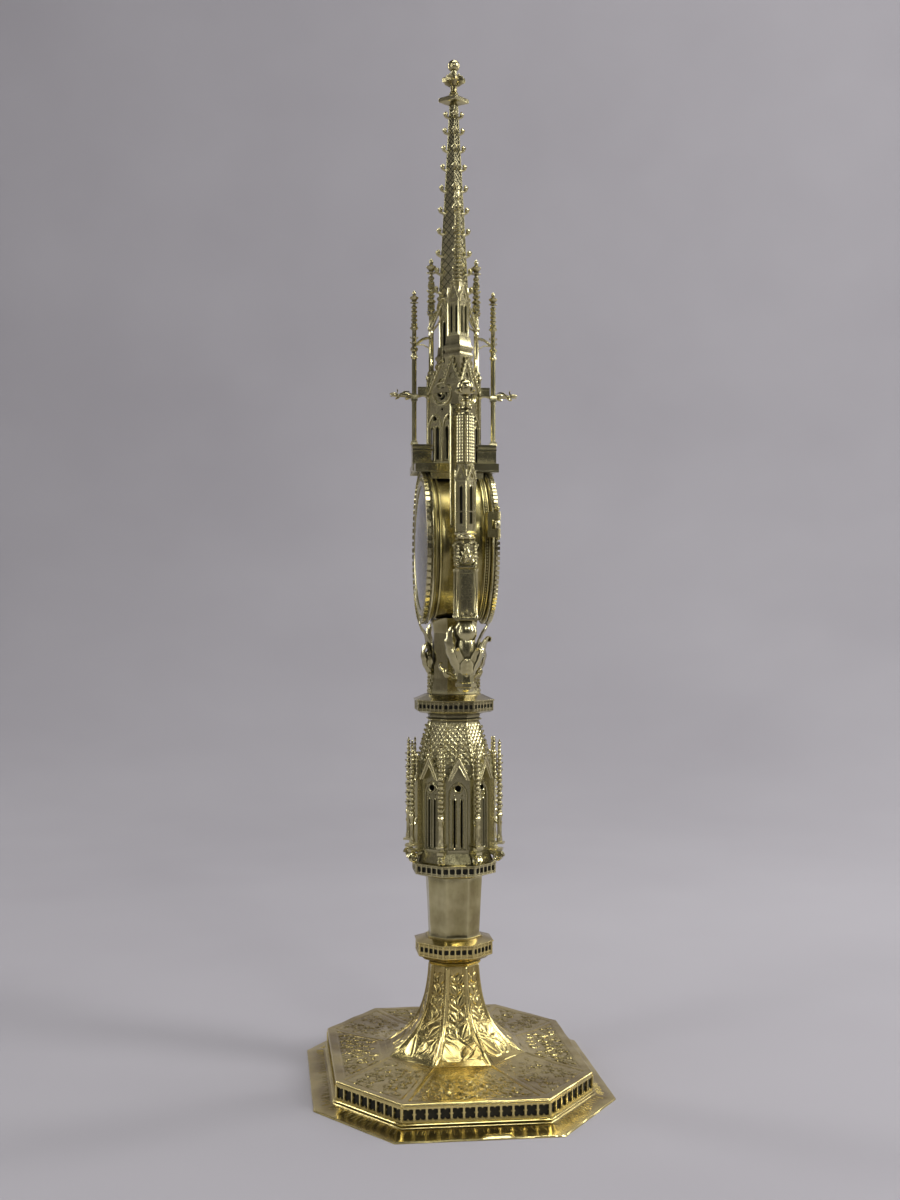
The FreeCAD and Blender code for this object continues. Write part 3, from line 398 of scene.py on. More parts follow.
def gablet(half, foot, apex, depth=1.0, bar=0.7, crockets=3, size=0.8, pierced=True, finial=True,
           filled=True):
    """Steep gable with a trefoil, thick raking bars, crockets and a leaf finial; its wall is at Y = 0."""
    form = Form()
    rise = apex - foot
    if filled:
        outer = [(-half, foot), (half, foot), (0, apex)]
        eye = foil(0, foot + rise * 0.3, min(half * 0.36, rise * 0.2), 3, 0.35, math.pi / 2, 18)
        form.join(plate(outer, [eye] if pierced else [], 0, depth * 0.5))
    for side in (-1, 1):
        low_end = (side * (half + bar * 0.6), depth * 0.6, foot - bar * 0.5)
        form.join(tube([low_end, (0, depth * 0.6, apex + bar * 0.4)], bar * 0.62, 6))
    form.join(raking_crockets(half + bar * 0.8, foot, apex + bar * 0.8, depth * 0.6, crockets, size))
    if finial:
        form.join(flower(size * 1.1), Matrix.Translation((0, depth * 0.5, apex + bar * 0.3)))
    return form


def framed_opening(outline, radius, depth=0.0, material=0):
    """Raised moulding round an opening."""
    return tube([(across, depth, up) for across, up in outline], radius, 6, material, closed=True)


def lozenge_facet(low_half, high_half, low_z, high_z, low_y, high_y, across=2, rows=10, relief=0.25,
                  gap=0.16):
    """Side of a roof or spire covered with pillowed lozenges; the flat ground lies behind them."""
    form = Form()

    def place(u, v, lift):
        half = low_half + (high_half - low_half) * v
        depth = low_y + (high_y - low_y) * v + lift
        return ((u * 2 - 1) * half, depth, low_z + (high_z - low_z) * v)

    for row in range(2 * rows + 1):
        offset = 0.0 if row % 2 else 0.5
        for step in range(across + 1):
            u = (step + offset) / across
            v = row / (2 * rows)
            if u > 1.001:
                continue
            du, dv = 0.5 / across * (1 - gap), 0.5 / rows * (1 - gap)
            corners = [(min(1, u + du), v), (u, min(1, v + dv)), (max(0, u - du), v), (u, max(0, v - dv))]
            if abs(corners[1][1] - corners[3][1]) < 1e-6:
                continue
            base = [place(cu, cv, 0.0) for cu, cv in corners]
            inner = [place(u + (cu - u) * 0.6, v + (cv - v) * 0.6, relief) for cu, cv in corners]
            faces = [(0, 1, 5, 4), (1, 2, 6, 5), (2, 3, 7, 6), (3, 0, 4, 7), (4, 5, 6, 7)]
            form.add(base + inner, [tuple(reversed(face)) for face in faces])
    return form


# ---------------------------------------------------------------- materials


def node_material(name):
    material = bpy.data.materials.new(name)
    material.use_nodes = True
    tree = material.node_tree
    shader = tree.nodes["Principled BSDF"]
    return material, tree, shader


def mapped(tree, scale):
    """Object coordinates stretched by a scale for each axis."""
    coordinates = tree.nodes.new("ShaderNodeTexCoord")
    mapping = tree.nodes.new("ShaderNodeMapping")
    mapping.inputs["Scale"].default_value = scale
    tree.links.new(coordinates.outputs["Object"], mapping.inputs["Vector"])
    return mapping.outputs["Vector"]


def noise_node(tree, vector, scale, detail=4.0, roughness=0.55):
    texture = tree.nodes.new("ShaderNodeTexNoise")
    texture.inputs["Scale"].default_value = scale
    texture.inputs["Detail"].default_value = detail
    texture.inputs["Roughness"].default_value = roughness
    tree.links.new(vector, texture.inputs["Vector"])
    return texture.outputs["Fac"]


def ramp(tree, factor, stops):
    node = tree.nodes.new("ShaderNodeValToRGB")
    elements = node.color_ramp.elements
    while len(elements) < len(stops):
        elements.new(0.5)
    for element, (place, colour) in zip(elements, stops):
        element.position = place
        element.color = (*colour, 1)
    tree.links.new(factor, node.inputs["Fac"])
    return node.outputs["Color"]


def mix_colour(tree, factor, first, second, mode="MIX"):
    node = tree.nodes.new("ShaderNodeMix")
    node.data_type = "RGBA"
    node.blend_type = mode
    for socket, value in ((node.inputs["Factor"], factor), (node.inputs["A"], first),
                          (node.inputs["B"], second)):
        if hasattr(value, "links"):
            tree.links.new(value, socket)
        elif isinstance(value, tuple):
            socket.default_value = (*value, 1)
        else:
            socket.default_value = value
    return next(output for output in node.outputs if output.type == "RGBA")


def combine(tree, operation, first, second):
    node = tree.nodes.new("ShaderNodeMath")
    node.operation = operation
    for socket, value in zip(node.inputs, (first, second)):
        if hasattr(value, "links"):
            tree.links.new(value, socket)
        else:
            socket.default_value = value
    return node.outputs["Value"]


def gilt(name, bright, tone, shade_and_tarnish, roughness=(0.2, 0.42), grain=(1, 1, 1), shade_and_tarnish_reach=0.0035, bump=0.25,
         mottling=40.0):
    """Aged gilding: two tones in clouds and fine scratches. The recesses are darkened towards a dark colour
    as painted shade together with tarnish, and the edges are lightened as wear together with a painted
    highlight.
    """
    material, tree, shader = node_material(name)
    plain = mapped(tree, (1, 1, 1))
    clouds = noise_node(tree, plain, mottling, 5.0)
    fine = noise_node(tree, plain, 900.0, 3.0)
    scratches = noise_node(tree, mapped(tree, grain), 260.0, 6.0, 0.7)
    colour = ramp(tree, clouds, ((0.3, tone), (0.68, bright)))
    shade = ramp(tree, scratches, ((0.3, (0.72, 0.7, 0.66)), (0.62, (1, 1, 1))))
    colour = mix_colour(tree, 0.55, colour, shade, "MULTIPLY")
    blots = noise_node(tree, plain, 22.0, 4.0, 0.6)
    colour = mix_colour(tree, 0.85, colour, ramp(tree, blots,
        ((0.4, (0.5, 0.45, 0.38)), (0.58, (1, 1, 1)))), "MULTIPLY")
    # Ambient occlusion darkens the recesses towards the dark colour: painted shade, together with the
    # tarnish the gilt has there.
    hollow = tree.nodes.new("ShaderNodeAmbientOcclusion")
    hollow.samples = 6
    hollow.inputs["Distance"].default_value = shade_and_tarnish_reach
    shade_and_grime = combine(tree, "ADD", hollow.outputs["AO"],
                    combine(tree, "MULTIPLY", combine(tree, "SUBTRACT", fine, 0.5), 0.5))
    unshaded_and_clean = ramp(tree, shade_and_grime, ((0.46, (0, 0, 0)), (0.97, (1, 1, 1))))
    colour = mix_colour(tree, unshaded_and_clean, shade_and_tarnish, colour)
    # Pointy edges are lightened towards a brighter gold: partly edge wear, partly a painted highlight.
    geometry = tree.nodes.new("ShaderNodeNewGeometry")
    edge = ramp(tree, geometry.outputs["Pointiness"], ((0.505, (0, 0, 0)), (0.57, (1, 1, 1))))
    colour = mix_colour(tree, combine(tree, "MULTIPLY", edge, 0.55), colour,
                        tuple(min(1.0, v * 1.22) for v in bright))
    tree.links.new(colour, shader.inputs["Base Color"])
    rough = tree.nodes.new("ShaderNodeMapRange")
    rough.inputs["To Min"].default_value = roughness[0]
    rough.inputs["To Max"].default_value = roughness[1]
    tree.links.new(combine(tree, "MULTIPLY", combine(tree, "ADD", scratches, clouds), 0.5),
                   rough.inputs["Value"])
    worn = combine(tree, "ADD", rough.outputs["Result"],
                   combine(tree, "MULTIPLY", combine(tree, "SUBTRACT", 1.0, unshaded_and_clean), 0.25))
    tree.links.new(worn, shader.inputs["Roughness"])
    shader.inputs["Metallic"].default_value = 1.0
    relief = tree.nodes.new("ShaderNodeBump")
    relief.inputs["Strength"].default_value = bump
    relief.inputs["Distance"].default_value = 0.0004
    tree.links.new(combine(tree, "ADD", clouds, combine(tree, "MULTIPLY", scratches, 0.5)),
                   relief.inputs["Height"])
    tree.links.new(relief.outputs["Normal"], shader.inputs["Normal"])
    return material


def painted_shade_material(name, colour, tone, roughness=0.6):
    """Near-black painted shade: the dark sheet behind the piercings and the dark lines of the spire's net
    stand in for the shadow inside and in the grooves.
    """
    material, tree, shader = node_material(name)
    clouds = noise_node(tree, mapped(tree, (1, 1, 1)), 120.0, 5.0)
    tree.links.new(ramp(tree, clouds, ((0.3, colour), (0.75, tone))), shader.inputs["Base Color"])
    shader.inputs["Metallic"].default_value = 0.6
    rough = ramp(tree, clouds, ((0.2, (roughness,) * 3), (0.8, (roughness + 0.2,) * 3)))
    tree.links.new(rough, shader.inputs["Roughness"])
    relief = tree.nodes.new("ShaderNodeBump")
    relief.inputs["Strength"].default_value = 0.4
    relief.inputs["Distance"].default_value = 0.0002
    tree.links.new(clouds, relief.inputs["Height"])
    tree.links.new(relief.outputs["Normal"], shader.inputs["Normal"])
    return material


def crystal(name):
    """Clear old glass with a faint green tint and smears."""
    material, tree, shader = node_material(name)
    smears = noise_node(tree, mapped(tree, (1, 1, 2.5)), 45.0, 5.0)
    tree.links.new(ramp(tree, smears, ((0.35, (0.93, 0.97, 0.94)), (0.75, (0.99, 1.0, 0.99)))),
                   shader.inputs["Base Color"])
    tree.links.new(ramp(tree, smears, ((0.3, (0.02,) * 3), (0.85, (0.14,) * 3))),
                   shader.inputs["Roughness"])
    shader.inputs["Transmission Weight"].default_value = 1.0
    shader.inputs["IOR"].default_value = 1.46
    return material


# The third colour of each gilt and its reach set the painted shade and tarnish in its recesses.
LEAF_GOLD = gilt("silver_gilt_chased", (0.68, 0.62, 0.35), (0.40, 0.36, 0.17), (0.045, 0.038, 0.018),
                 (0.1, 0.28), shade_and_tarnish_reach=0.006)
FOOT_GOLD = gilt(
    "foot_gilt_engraved", (0.84, 0.70, 0.30), (0.64, 0.52, 0.19), (0.08, 0.055, 0.016), (0.12, 0.3),
    shade_and_tarnish_reach=0.0022,
    mottling=30.0,
)
PLAIN_GOLD = gilt(
    "plain_gilt_worn", (0.70, 0.64, 0.36), (0.44, 0.39, 0.18), (0.06, 0.046, 0.02), (0.09, 0.26),
    (1, 1, 0.15), bump=0.35,
    mottling=55.0,
)
SHEET_GOLD = gilt(
    "drum_gilt_brushed", (0.70, 0.62, 0.28), (0.42, 0.36, 0.13), (0.05, 0.038, 0.014), (0.14, 0.34),
    (0.2, 3, 0.2),
    bump=0.3, mottling=45.0,
)
BRIGHT_GOLD = gilt("lunula_gilt", (0.93, 0.78, 0.42), (0.8, 0.64, 0.3), (0.2, 0.13, 0.05), (0.12, 0.26),
                   bump=0.12)
# A darker copy of the leaf gilt for the knop's recessed walls: painted shade for their place behind the
# buttresses and hoods.
SHADED_WALL_GOLD = gilt("wall_gilt_painted_shade", (0.48, 0.44, 0.25), (0.26, 0.245, 0.12), (0.035, 0.03, 0.014),
                 (0.1, 0.26), shade_and_tarnish_reach=0.005)
IRON = gilt("dark_iron", (0.36, 0.32, 0.25), (0.2, 0.17, 0.13), (0.04, 0.03, 0.02), (0.35, 0.6))
# Near-black painted shade for the cores behind the piercings and for the lines of the spire's net.
SHADE_BLACK = painted_shade_material("painted_shade_black", (0.018, 0.02, 0.017), (0.06, 0.055, 0.04))
GLASS = crystal("old_crystal")


# ---------------------------------------------------------------- objects
ORNAMENT_CREASE = 38
PLAIN_CREASE = 35


def piece(name, form, body, materials=(LEAF_GOLD, SHADE_BLACK), nodes=(), bevel=0.12, sharp=38.0):
    """Mesh object from a form; it rides a body, stands for its CAD nodes and has softened edges."""
    mesh = bpy.data.meshes.new(name)
    mesh.from_pydata([tuple(point * MM) for point in form.points], [], form.faces)
    for material in materials:
        mesh.materials.append(material)
    mesh.polygons.foreach_set("material_index", form.materials)
    mesh.polygons.foreach_set("use_smooth", [True] * len(mesh.polygons))
    mesh.validate()
    shell = bmesh.new()
    shell.from_mesh(mesh)
    bmesh.ops.recalc_face_normals(shell, faces=shell.faces)
    shell.to_mesh(mesh)
    shell.free()
    mesh.update()
    mesh.set_sharp_from_angle(angle=math.radians(sharp))
    obj = bpy.data.objects.new(name, mesh)
    bpy.context.scene.collection.objects.link(obj)
    if bevel:
        soft = obj.modifiers.new("soft_edges", "BEVEL")
        soft.width = bevel * MM
        soft.segments = 2
        soft.limit_method = "ANGLE"
        soft.angle_limit = math.radians(sharp)
        soft.use_clamp_overlap = True
        soft.harden_normals = False
    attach(obj, body)
    if nodes:
        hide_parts(*nodes)
    return obj


def finish_node(node, material, bevel=0.15):
    """Gives a CAD node that stays in view its finish and softened edges."""
    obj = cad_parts[node]
    obj.data.materials.clear()
    obj.data.materials.append(material)
    if bevel:
        soft = obj.modifiers.new("soft_edges", "BEVEL")
        soft.width = bevel * MM
        soft.segments = 2
        soft.limit_method = "ANGLE"
        soft.angle_limit = math.radians(38)


# ---------------------------------------------------------------- foot

FLANGE_FLAT = (57.0, 45.0)
PLATE_FLAT = (53.5, 39.8)
flange_high = span("foot_flange")[1]
plate_low, plate_high = span("foot_plate")
FLANGE = (flange_high.x, flange_high.y, *FLANGE_FLAT)
PLATE = (plate_high.x, plate_high.y, *PLATE_FLAT)
PLATE_TOP = plate_low.z + 1.8
SEAM, NECK_BASE = base_and_top("foot_neck")


def blend_outline(first, second, share):
    return [a + (b - a) * share for a, b in zip(first, second)]


def outline_corners(shape):
    """Corners of a rectangle with cut corners, anticlockwise from the +X side."""
    half_x, half_y, flat_x, flat_y = shape
    return [
        Vector((half_x, -flat_y, 0)), Vector((half_x, flat_y, 0)), Vector((flat_x, half_y, 0)),
        Vector((-flat_x, half_y, 0)), Vector((-half_x, flat_y, 0)), Vector((-half_x, -flat_y, 0)),
        Vector((-flat_x, -half_y, 0)), Vector((flat_x, -half_y, 0)),
    ]


def outline_ring(shape, level, per_side, wave=0.0):
    """Points along a foot outline with each side divided evenly, slightly uneven if wave is given."""
    corners = outline_corners(shape)
    points = []
    for start, end in zip(corners, corners[1:] + corners[:1]):
        for step in range(per_side):
            point = start.lerp(end, step / per_side)
            point.z = level
            if wave:
                point.z += wave * noise.noise(point * 0.06)
                lean = noise.noise(point * 0.05 + Vector((0, 0, 9))) * wave
                point.x -= abs(lean) * (1 if point.x > 0 else -1)
                point.y -= abs(lean) * (1 if point.y > 0 else -1)
            points.append(point)
    return points


def foot_share(share):
    return blend_outline(PLATE, FLANGE, share)


def make_flange():
    low, high = base_and_top("foot_flange")
    rings = [
        outline_ring(foot_share(-0.5), low, 24),
        outline_ring(foot_share(0.98), low, 24),
        outline_ring(foot_share(1.0), low + 0.5, 24, 0.5),
        outline_ring(foot_share(0.97), low + 1.1, 24, 0.4),
        outline_ring(foot_share(0.6), low + 1.7, 24, 0.35),
        outline_ring(foot_share(0.2), high, 24, 0.1),
        outline_ring(foot_share(0.12), high + 0.6, 24),
        outline_ring(foot_share(0.0), high, 24),
        outline_ring(foot_share(-0.5), high, 24),
    ]
    form = loft(rings + rings[:1], False)
    corners = outline_corners(foot_share(0.22))
    outer = outline_corners(foot_share(0.86))
    for side in range(8):
        start, end = corners[side], corners[(side + 1) % 8]
        far_start, far_end = outer[side], outer[(side + 1) % 8]
        count = int((end - start).length / 3.1)
        for step in range(1, count):
            share = step / count + rng.uniform(-0.006, 0.006)
            near_point = start.lerp(end, share) + UP * (high - 0.15)
            far_point = near_point.lerp(far_start.lerp(far_end, share) + UP * (low + 1.25),
                                        rng.uniform(0.35, 0.6))
            form.join(tube([near_point, far_point], [0.42, 0.2], 5))
    piece("foot_flange_sheet", form, "stand", (FOOT_GOLD, SHADE_BLACK), ("foot_flange",), 0.0, 45)


def make_moulding():
    low, high = base_and_top("foot_moulding")
    rise = high - low
    rows = ((-0.42, 0.0), (0.1, 0.0), (0.13, 0.14), (0.1, 0.3), (0.05, 0.4), (0.04, 0.5), (0.1, 0.62),
            (0.115, 0.78),
            (0.08, 0.93), (0.0, 1.0), (-0.42, 1.0))
    rings = [outline_ring(foot_share(share), low + rise * z, 8) for share, z in rows]
    piece("foot_roll_moulding", loft(rings + rings[:1], False), "stand", (FOOT_GOLD,),
          ("foot_moulding",), 0.0, 50)


def pierced_bay(width, height, hole=0.8, turn=math.pi / 4, lobes=4, depth=0.34, steps=32):
    """One square of pierced strip: the panel round a four-lobed hole, centred on the origin."""
    outer = []
    inner = []
    for step in range(steps):
        angle = part_turn(step, steps)
        across, up = math.cos(angle), math.sin(angle)
        reach = min(width / 2 / max(abs(across), 1e-6), height / 2 / max(abs(up), 1e-6))
        outer.append((across * reach, up * reach))
        swell = hole * min(width,
            height) / 2 * (1 - depth + depth * abs(math.cos(lobes * (angle - turn) / 2)) ** 0.7)
        inner.append((across * swell, up * swell))
    form = Form()
    points = [(a, 0.0, u) for a, u in outer] + [(a, 0.0, u) for a, u in inner] + [(a, -0.7, u) for a,
        u in inner]
    faces = []
    for step in range(steps):
        following = (step + 1) % steps
        faces.append((following, step, steps + step, steps + following))
        faces.append((steps + following, steps + step, 2 * steps + step, 2 * steps + following))
    return form.add(points, faces)


def pierced_strip(length, height, count, bar, proud=0.45, **bay):
    """Row of pierced bays with upright bars between them, centred on the origin."""
    form = Form()
    pitch = length / count
    cell = pierced_bay(pitch - bar * 0.6, height, **bay)
    for number in range(count):
        form.join(cell, Matrix.Translation(((number + 0.5) * pitch - length / 2, 0, 0)))
    for number in range(count + 1):
        across = number * pitch - length / 2
        form.join(box((across - bar / 2, -0.5, -height / 2), (across + bar / 2, proud, height / 2)))
    return form


def make_gallery():
    low, high = base_and_top("foot_gallery")
    form = Form()
    # The backing sheet takes the near-black material: painted shade behind the pierced bays.
    backing = [outline_ring(foot_share(share), z, 1) for share, z in
               ((-0.1, low), (-0.1, high), (-0.16, high), (-0.16, low))]
    form.join(loft(backing + backing[:1], False, 1))
    for share, z0, z1 in ((-0.005, low, low + 0.9), (-0.005, high - 1.0, high)):
        rows = [outline_ring(foot_share(share), z0, 1), outline_ring(foot_share(share), z1, 1),
                outline_ring(foot_share(-0.1), z1, 1), outline_ring(foot_share(-0.1), z0, 1)]
        form.join(loft(rows + rows[:1], False))
    corners = outline_corners(foot_share(-0.03))
    band = high - low - 1.7
    for side in range(8):
        start, end = corners[side], corners[(side + 1) % 8]
        along = end - start
        count = round(along.length / 6.35)
        outward = math.atan2(-along.x, along.y)
        middle = (start + end) / 2
        strip = pierced_strip(along.length, band, count, 1.1, hole=1.22, depth=0.42)
        matrix = facet(outward, 0.0, (low + high) / 2)
        form.join(strip, Matrix.Translation((middle.x, middle.y, 0)) @ matrix)
        form.join(column([(0.9, low + 0.6), (0.9, high - 0.4)], 8, 0, (start.x, start.y)))
    piece("foot_pierced_gallery", form, "stand", (FOOT_GOLD, SHADE_BLACK),
          ("foot_gallery", "gallery_backing"), 0.0, PLAIN_CREASE)


def neck_apothem(level):
    """Half width of the concave neck at a height."""
    return 12.75 + 27.0 * math.exp(-(level - SEAM) / 14.5)


def leaf_relief(s, t, length, width):
    """Height of one pointed leaf with a vein and a cut outline; s runs along it from its stalk, t across."""
    share = np.clip(s / length, 0, 1)
    half = width * np.sin(np.pi * share**0.75) + 1e-6
    inside = (s > 0) & (s < length) & (np.abs(t) < half)
    body = np.where(inside, 0.42 * np.sqrt(np.clip(1 - (t / half) ** 2, 0, 1)), 0.0)
    vein = np.where(inside, 0.26 * np.exp(-(t / 0.28) ** 2), 0.0)
    rim = np.where((s > -0.3) & (s < length + 0.3), 0.3 * np.exp(-((np.abs(t) - half) / 0.3) ** 2), 0.0)
    return body - vein - rim * (half > 0.2)


def groove(x, y, path, width=0.32, depth=0.3):
    """Engraved line along a path of points."""
    nearest = np.full(x.shape, 1e9)
    for (ax, ay), (bx, by) in zip(path, path[1:]):
        dx, dy = bx - ax, by - ay
        length = dx * dx + dy * dy
        share = np.clip(((x - ax) * dx + (y - ay) * dy) / length, 0, 1)
        nearest = np.minimum(nearest, np.hypot(x - ax - share * dx, y - ay - share * dy))
    return -depth * np.exp(-(nearest / width) ** 2)


def scroll(cx, cy, size, hand, start):
    """Points of a spiral tendril."""
    path = []
    for step in range(15):
        angle = step * 0.5
        reach = size * (1 - step / 17) * 0.75
        path.append((cx + reach * math.cos(angle * hand + start),
                     cy + reach * math.sin(angle * hand + start)))
    return path


def leaf_at(x, y, px, py, angle, length, width):
    """Relief of a leaf that grows from a point at an angle."""
    c, s = math.cos(angle), math.sin(angle)
    along = (x - px) * c + (y - py) * s
    across = -(x - px) * s + (y - py) * c
    return leaf_relief(along, across, length, width)


def plate_relief(side, x, y, half, depth):
    """Chased foliage inside the border line of one plate panel; y runs inwards from the edge."""
    draw = random.Random(11 + side)
    relief = np.zeros(x.shape)
    margin = np.minimum(half - 2.6 - np.abs(x), np.minimum(y - 3.0, depth - 4.0 - y))
    level = 7.0
    while level < depth - 7.0:
        reach = float(np.interp(level, y[:, 0], half[:, 0])) - 4.5
        runs = max(1, int(reach / 11.5))
        for run in range(runs):
            for hand in (-1, 1):
                cx = hand * (run + 0.5) * reach / runs
                cy = level + draw.uniform(-1.2, 1.2)
                size = min(8.2, max(4.6, reach / runs * 0.82))
                relief = relief + groove(x, y, scroll(cx, cy, size, hand, run), 0.42, 0.5)
                for number in range(5):
                    angle = number * 1.26 + draw.uniform(-0.3, 0.3)
                    px = cx + 0.3 * size * math.cos(angle)
                    py = cy + 0.3 * size * math.sin(angle)
                    relief = relief + leaf_at(x, y, px, py, angle, size * draw.uniform(0.65, 1.0),
                                              size * 0.28)
        level += 10.2
    relief = np.where(margin > 0.6, np.clip(relief * 1.0 - 0.06, -0.45, 0.5), 0.0)
    relief += -0.4 * np.exp(-((margin / 0.42) ** 2))
    rib = 0.45 * np.exp(-(((half - np.abs(x)) / 0.9) ** 2)) * np.clip(y / depth, 0, 1)
    ends = np.clip(y / 1.5, 0, 1) * np.clip((depth - y) / 1.5, 0, 1)
    return (relief + rib) * ends


def neck_relief(side, x, y, half, depth):
    """Foliage that climbs one facet of the neck, with a bead on each corner."""
    draw = random.Random(50 + side)
    relief = np.zeros(x.shape)
    level = 3.0
    hand = 1
    while level < depth - 6:
        wide = float(np.interp(level, y[:, 0], half[:, 0]))
        size = max(4.2, wide * 1.25)
        for lean in (-1, 1):
            angle = math.pi / 2 - lean * draw.uniform(0.35, 0.8)
            relief = relief + leaf_at(x, y, lean * wide * 0.12, level, angle,
                                      size * draw.uniform(0.85, 1.15), size * 0.3)
        stem = [(hand * wide * 0.45 * math.sin(step * 0.6),
                 level + step * size * 0.14) for step in range(8)]
        relief = relief + groove(x, y, stem, 0.34, 0.5)
        hand = -hand
        level += size * 0.78
    margin = half - np.abs(x)
    relief = np.where((margin > 1.9) & (y > 4.0) & (y < depth - 4),
                      np.clip(relief * 1.1 - 0.1, -0.45, 0.55), 0.0)
    relief += 0.7 * np.exp(-((margin / 0.8) ** 2)) * np.clip(y / 10, 0, 1)
    relief += -0.35 * np.exp(-(((margin - 2.0) / 0.34) ** 2)) * np.clip(y / 4.0, 0, 1)
    return relief * np.clip((depth - y) / 1.5, 0, 1)


def chased_shell(rows, columns, relief, inner_rows):
    """Closed shell: a finely divided outer skin whose eight sides carry relief, and a plain inner skin."""
    corner_rings = [outline_corners(shape) for shape, _ in rows]
    levels = np.array([level for _, level in rows])
    blocks = []
    for side in range(8):
        start = np.array([tuple(corners[side]) for corners in corner_rings])
        end = np.array([tuple(corners[(side + 1) % 8]) for corners in corner_rings])
        share = np.arange(columns[side]) / columns[side]
        grid = start[:, None, :] * (1 - share)[None, :, None] + end[:, None, :] * share[None, :, None]
        grid[:, :, 2] = levels[:, None]
        middle = (start + end) / 2
        middle[:, 2] = levels
        travelled = np.concatenate([[0], np.cumsum(np.linalg.norm(np.diff(middle, axis=0), axis=1))])
        length = np.linalg.norm((end - start)[:, :2], axis=1)
        x = (share[None, :] - 0.5) * length[:, None]
        y = np.repeat(travelled[:, None], columns[side], axis=1)
        half = np.repeat(length[:, None] / 2, columns[side], axis=1)
        lift = relief(side, x, y, half, travelled[-1])
        dents = 0.22 * np.sin(x * 0.23 + side) * np.sin(y * 0.31 + 2 * side) * np.sin(np.pi * share)[None,
            :]
        lift = lift + dents
        lift[0] = 0
        lift[-1] = 0
        across = (end - start) / length[:, None]
        across[:, 2] = 0
        rise = np.gradient(middle, axis=0)
        outward = np.cross(across, rise)
        outward /= np.linalg.norm(outward, axis=1)[:, None]
        blocks.append(grid + outward[:, None, :] * lift[:, :, None])
    skin = np.concatenate(blocks, axis=1)
    total = skin.shape[1]
    form = Form()
    faces = [
        (row * total + step, row * total + (step + 1) % total, (row + 1) * total + (step + 1) % total,
         (row + 1) * total + step)
        for row in range(len(rows) - 1)
        for step in range(total)
    ]
    form.add([Vector(point) for point in skin.reshape(-1, 3)], faces)
    inner_start = len(form.points)
    for shape, level in inner_rows:
        for corner in outline_corners(shape):
            form.points.append(Vector((corner.x, corner.y, level)))
    firsts = [sum(columns[:side]) for side in range(9)]
    for side in range(8):
        following = (side + 1) % 8
        for row in range(len(inner_rows) - 1):
            base = inner_start + row * 8
            form.faces.append((base + side, base + 8 + side, base + 8 + following, base + following))
        last_inner = inner_start + (len(inner_rows) - 1) * 8
        for row, inner in ((0, inner_start), (len(rows) - 1, last_inner)):
            edge = [row * total + step % total for step in range(firsts[side], firsts[side + 1] + 1)]
            form.faces.append((*edge, inner + following, inner + side))
    form.materials = [0] * len(form.faces)
    return form


def square_shape(reach):
    return [reach, reach, reach * math.tan(TURN), reach * math.tan(TURN)]


def make_plate():
    """Sloping plate with eight chased panels between the rim and the neck."""
    bottom = plate_low.z
    rows = [(foot_share(share), level) for share, level in
            ((0.0, bottom), (0.014, bottom + 0.5), (0.0, bottom + 1.0), (-0.02, PLATE_TOP - 0.2))]
    edge = foot_share(-0.05)
    seam = square_shape(neck_apothem(SEAM))
    count = 84
    for step in range(count + 1):
        share = step / count
        rows.append((blend_outline(edge, seam, share), PLATE_TOP + (SEAM - PLATE_TOP) * share**3.0))
    inner = [(foot_share(-0.09), bottom), (foot_share(-0.12), PLATE_TOP - 1.6),
             (square_shape(neck_apothem(SEAM) - 2.6), SEAM)]

    def relief(side, x, y, half, depth):
        rim = 4.2
        chased = plate_relief(side, x, np.maximum(y - rim, 0), half, depth - rim)
        return np.where(y > rim, chased, 0.0)

    shell = chased_shell(rows, [140, 78, 184, 78] * 2, relief, inner)
    piece("foot_chased_plate", shell, "stand", (FOOT_GOLD,), ("foot_plate",), 0.0, 60)


def make_neck():
    """Concave neck that rises from the plate, chased on each facet."""
    count = 120
    levels = [SEAM + (NECK_BASE - SEAM) * (step / count) ** 1.3 for step in range(count + 1)]
    rows = [(square_shape(neck_apothem(level)), level) for level in levels]
    inner = [(square_shape(neck_apothem(SEAM) - 2.6), SEAM)]
    for step in range(1, 9):
        level = SEAM + (NECK_BASE - SEAM) * (step / 8) ** 1.3
        inner.append((square_shape(neck_apothem(level) - 1.3), level))
    shell = chased_shell(rows, [48] * 8, neck_relief, inner)
    piece("foot_chased_neck", shell, "stand", (FOOT_GOLD,), ("foot_neck",), 0.0, 60)


make_flange()
make_moulding()
make_gallery()
make_plate()
make_neck()

# ---------------------------------------------------------------- collars and stem


def octagon_radius(node):
    """Corner radius of an octagon whose flat sides face the axes."""
    return half_width(node) / math.cos(TURN)


def make_collar(name, node, rows_below, rows_above, band, bays, materials):
    """Moulded octagonal collar with a pierced band; rows are shares of the radius and of the height."""
    low, high = base_and_top(node)
    rise = high - low
    radius = octagon_radius(node)
    form = column([(radius * r, low + rise * z) for r, z in rows_below])
    form.join(column([(radius * r, low + rise * z) for r, z in rows_above]))
    band_low, band_high = low + rise * band[0], low + rise * band[1]
    # A near-black core behind the pierced band: painted shade for the hollow inside.
    form.join(column([(radius - 1.6, band_low - 0.2), (radius - 1.6, band_high + 0.2)], material=1))
    side = 2 * radius * math.sin(TURN)
    apothem = radius * math.cos(TURN)
    strip = pierced_strip(side - 0.7, band_high - band_low, bays, 0.8, 0.1, hole=1.08, depth=0.16)
    for number in range(8):
        form.join(strip, facet(part_turn(number, 8), apothem - 0.3, (band_low + band_high) / 2))
    form.around(column([(0.75, band_low - 0.1), (0.75, band_high + 0.1)], 8, 0, (radius - 0.75, 0)), 8,
                TURN)
    piece(name, form, "stand", materials, (node,), 0.1, PLAIN_CREASE)


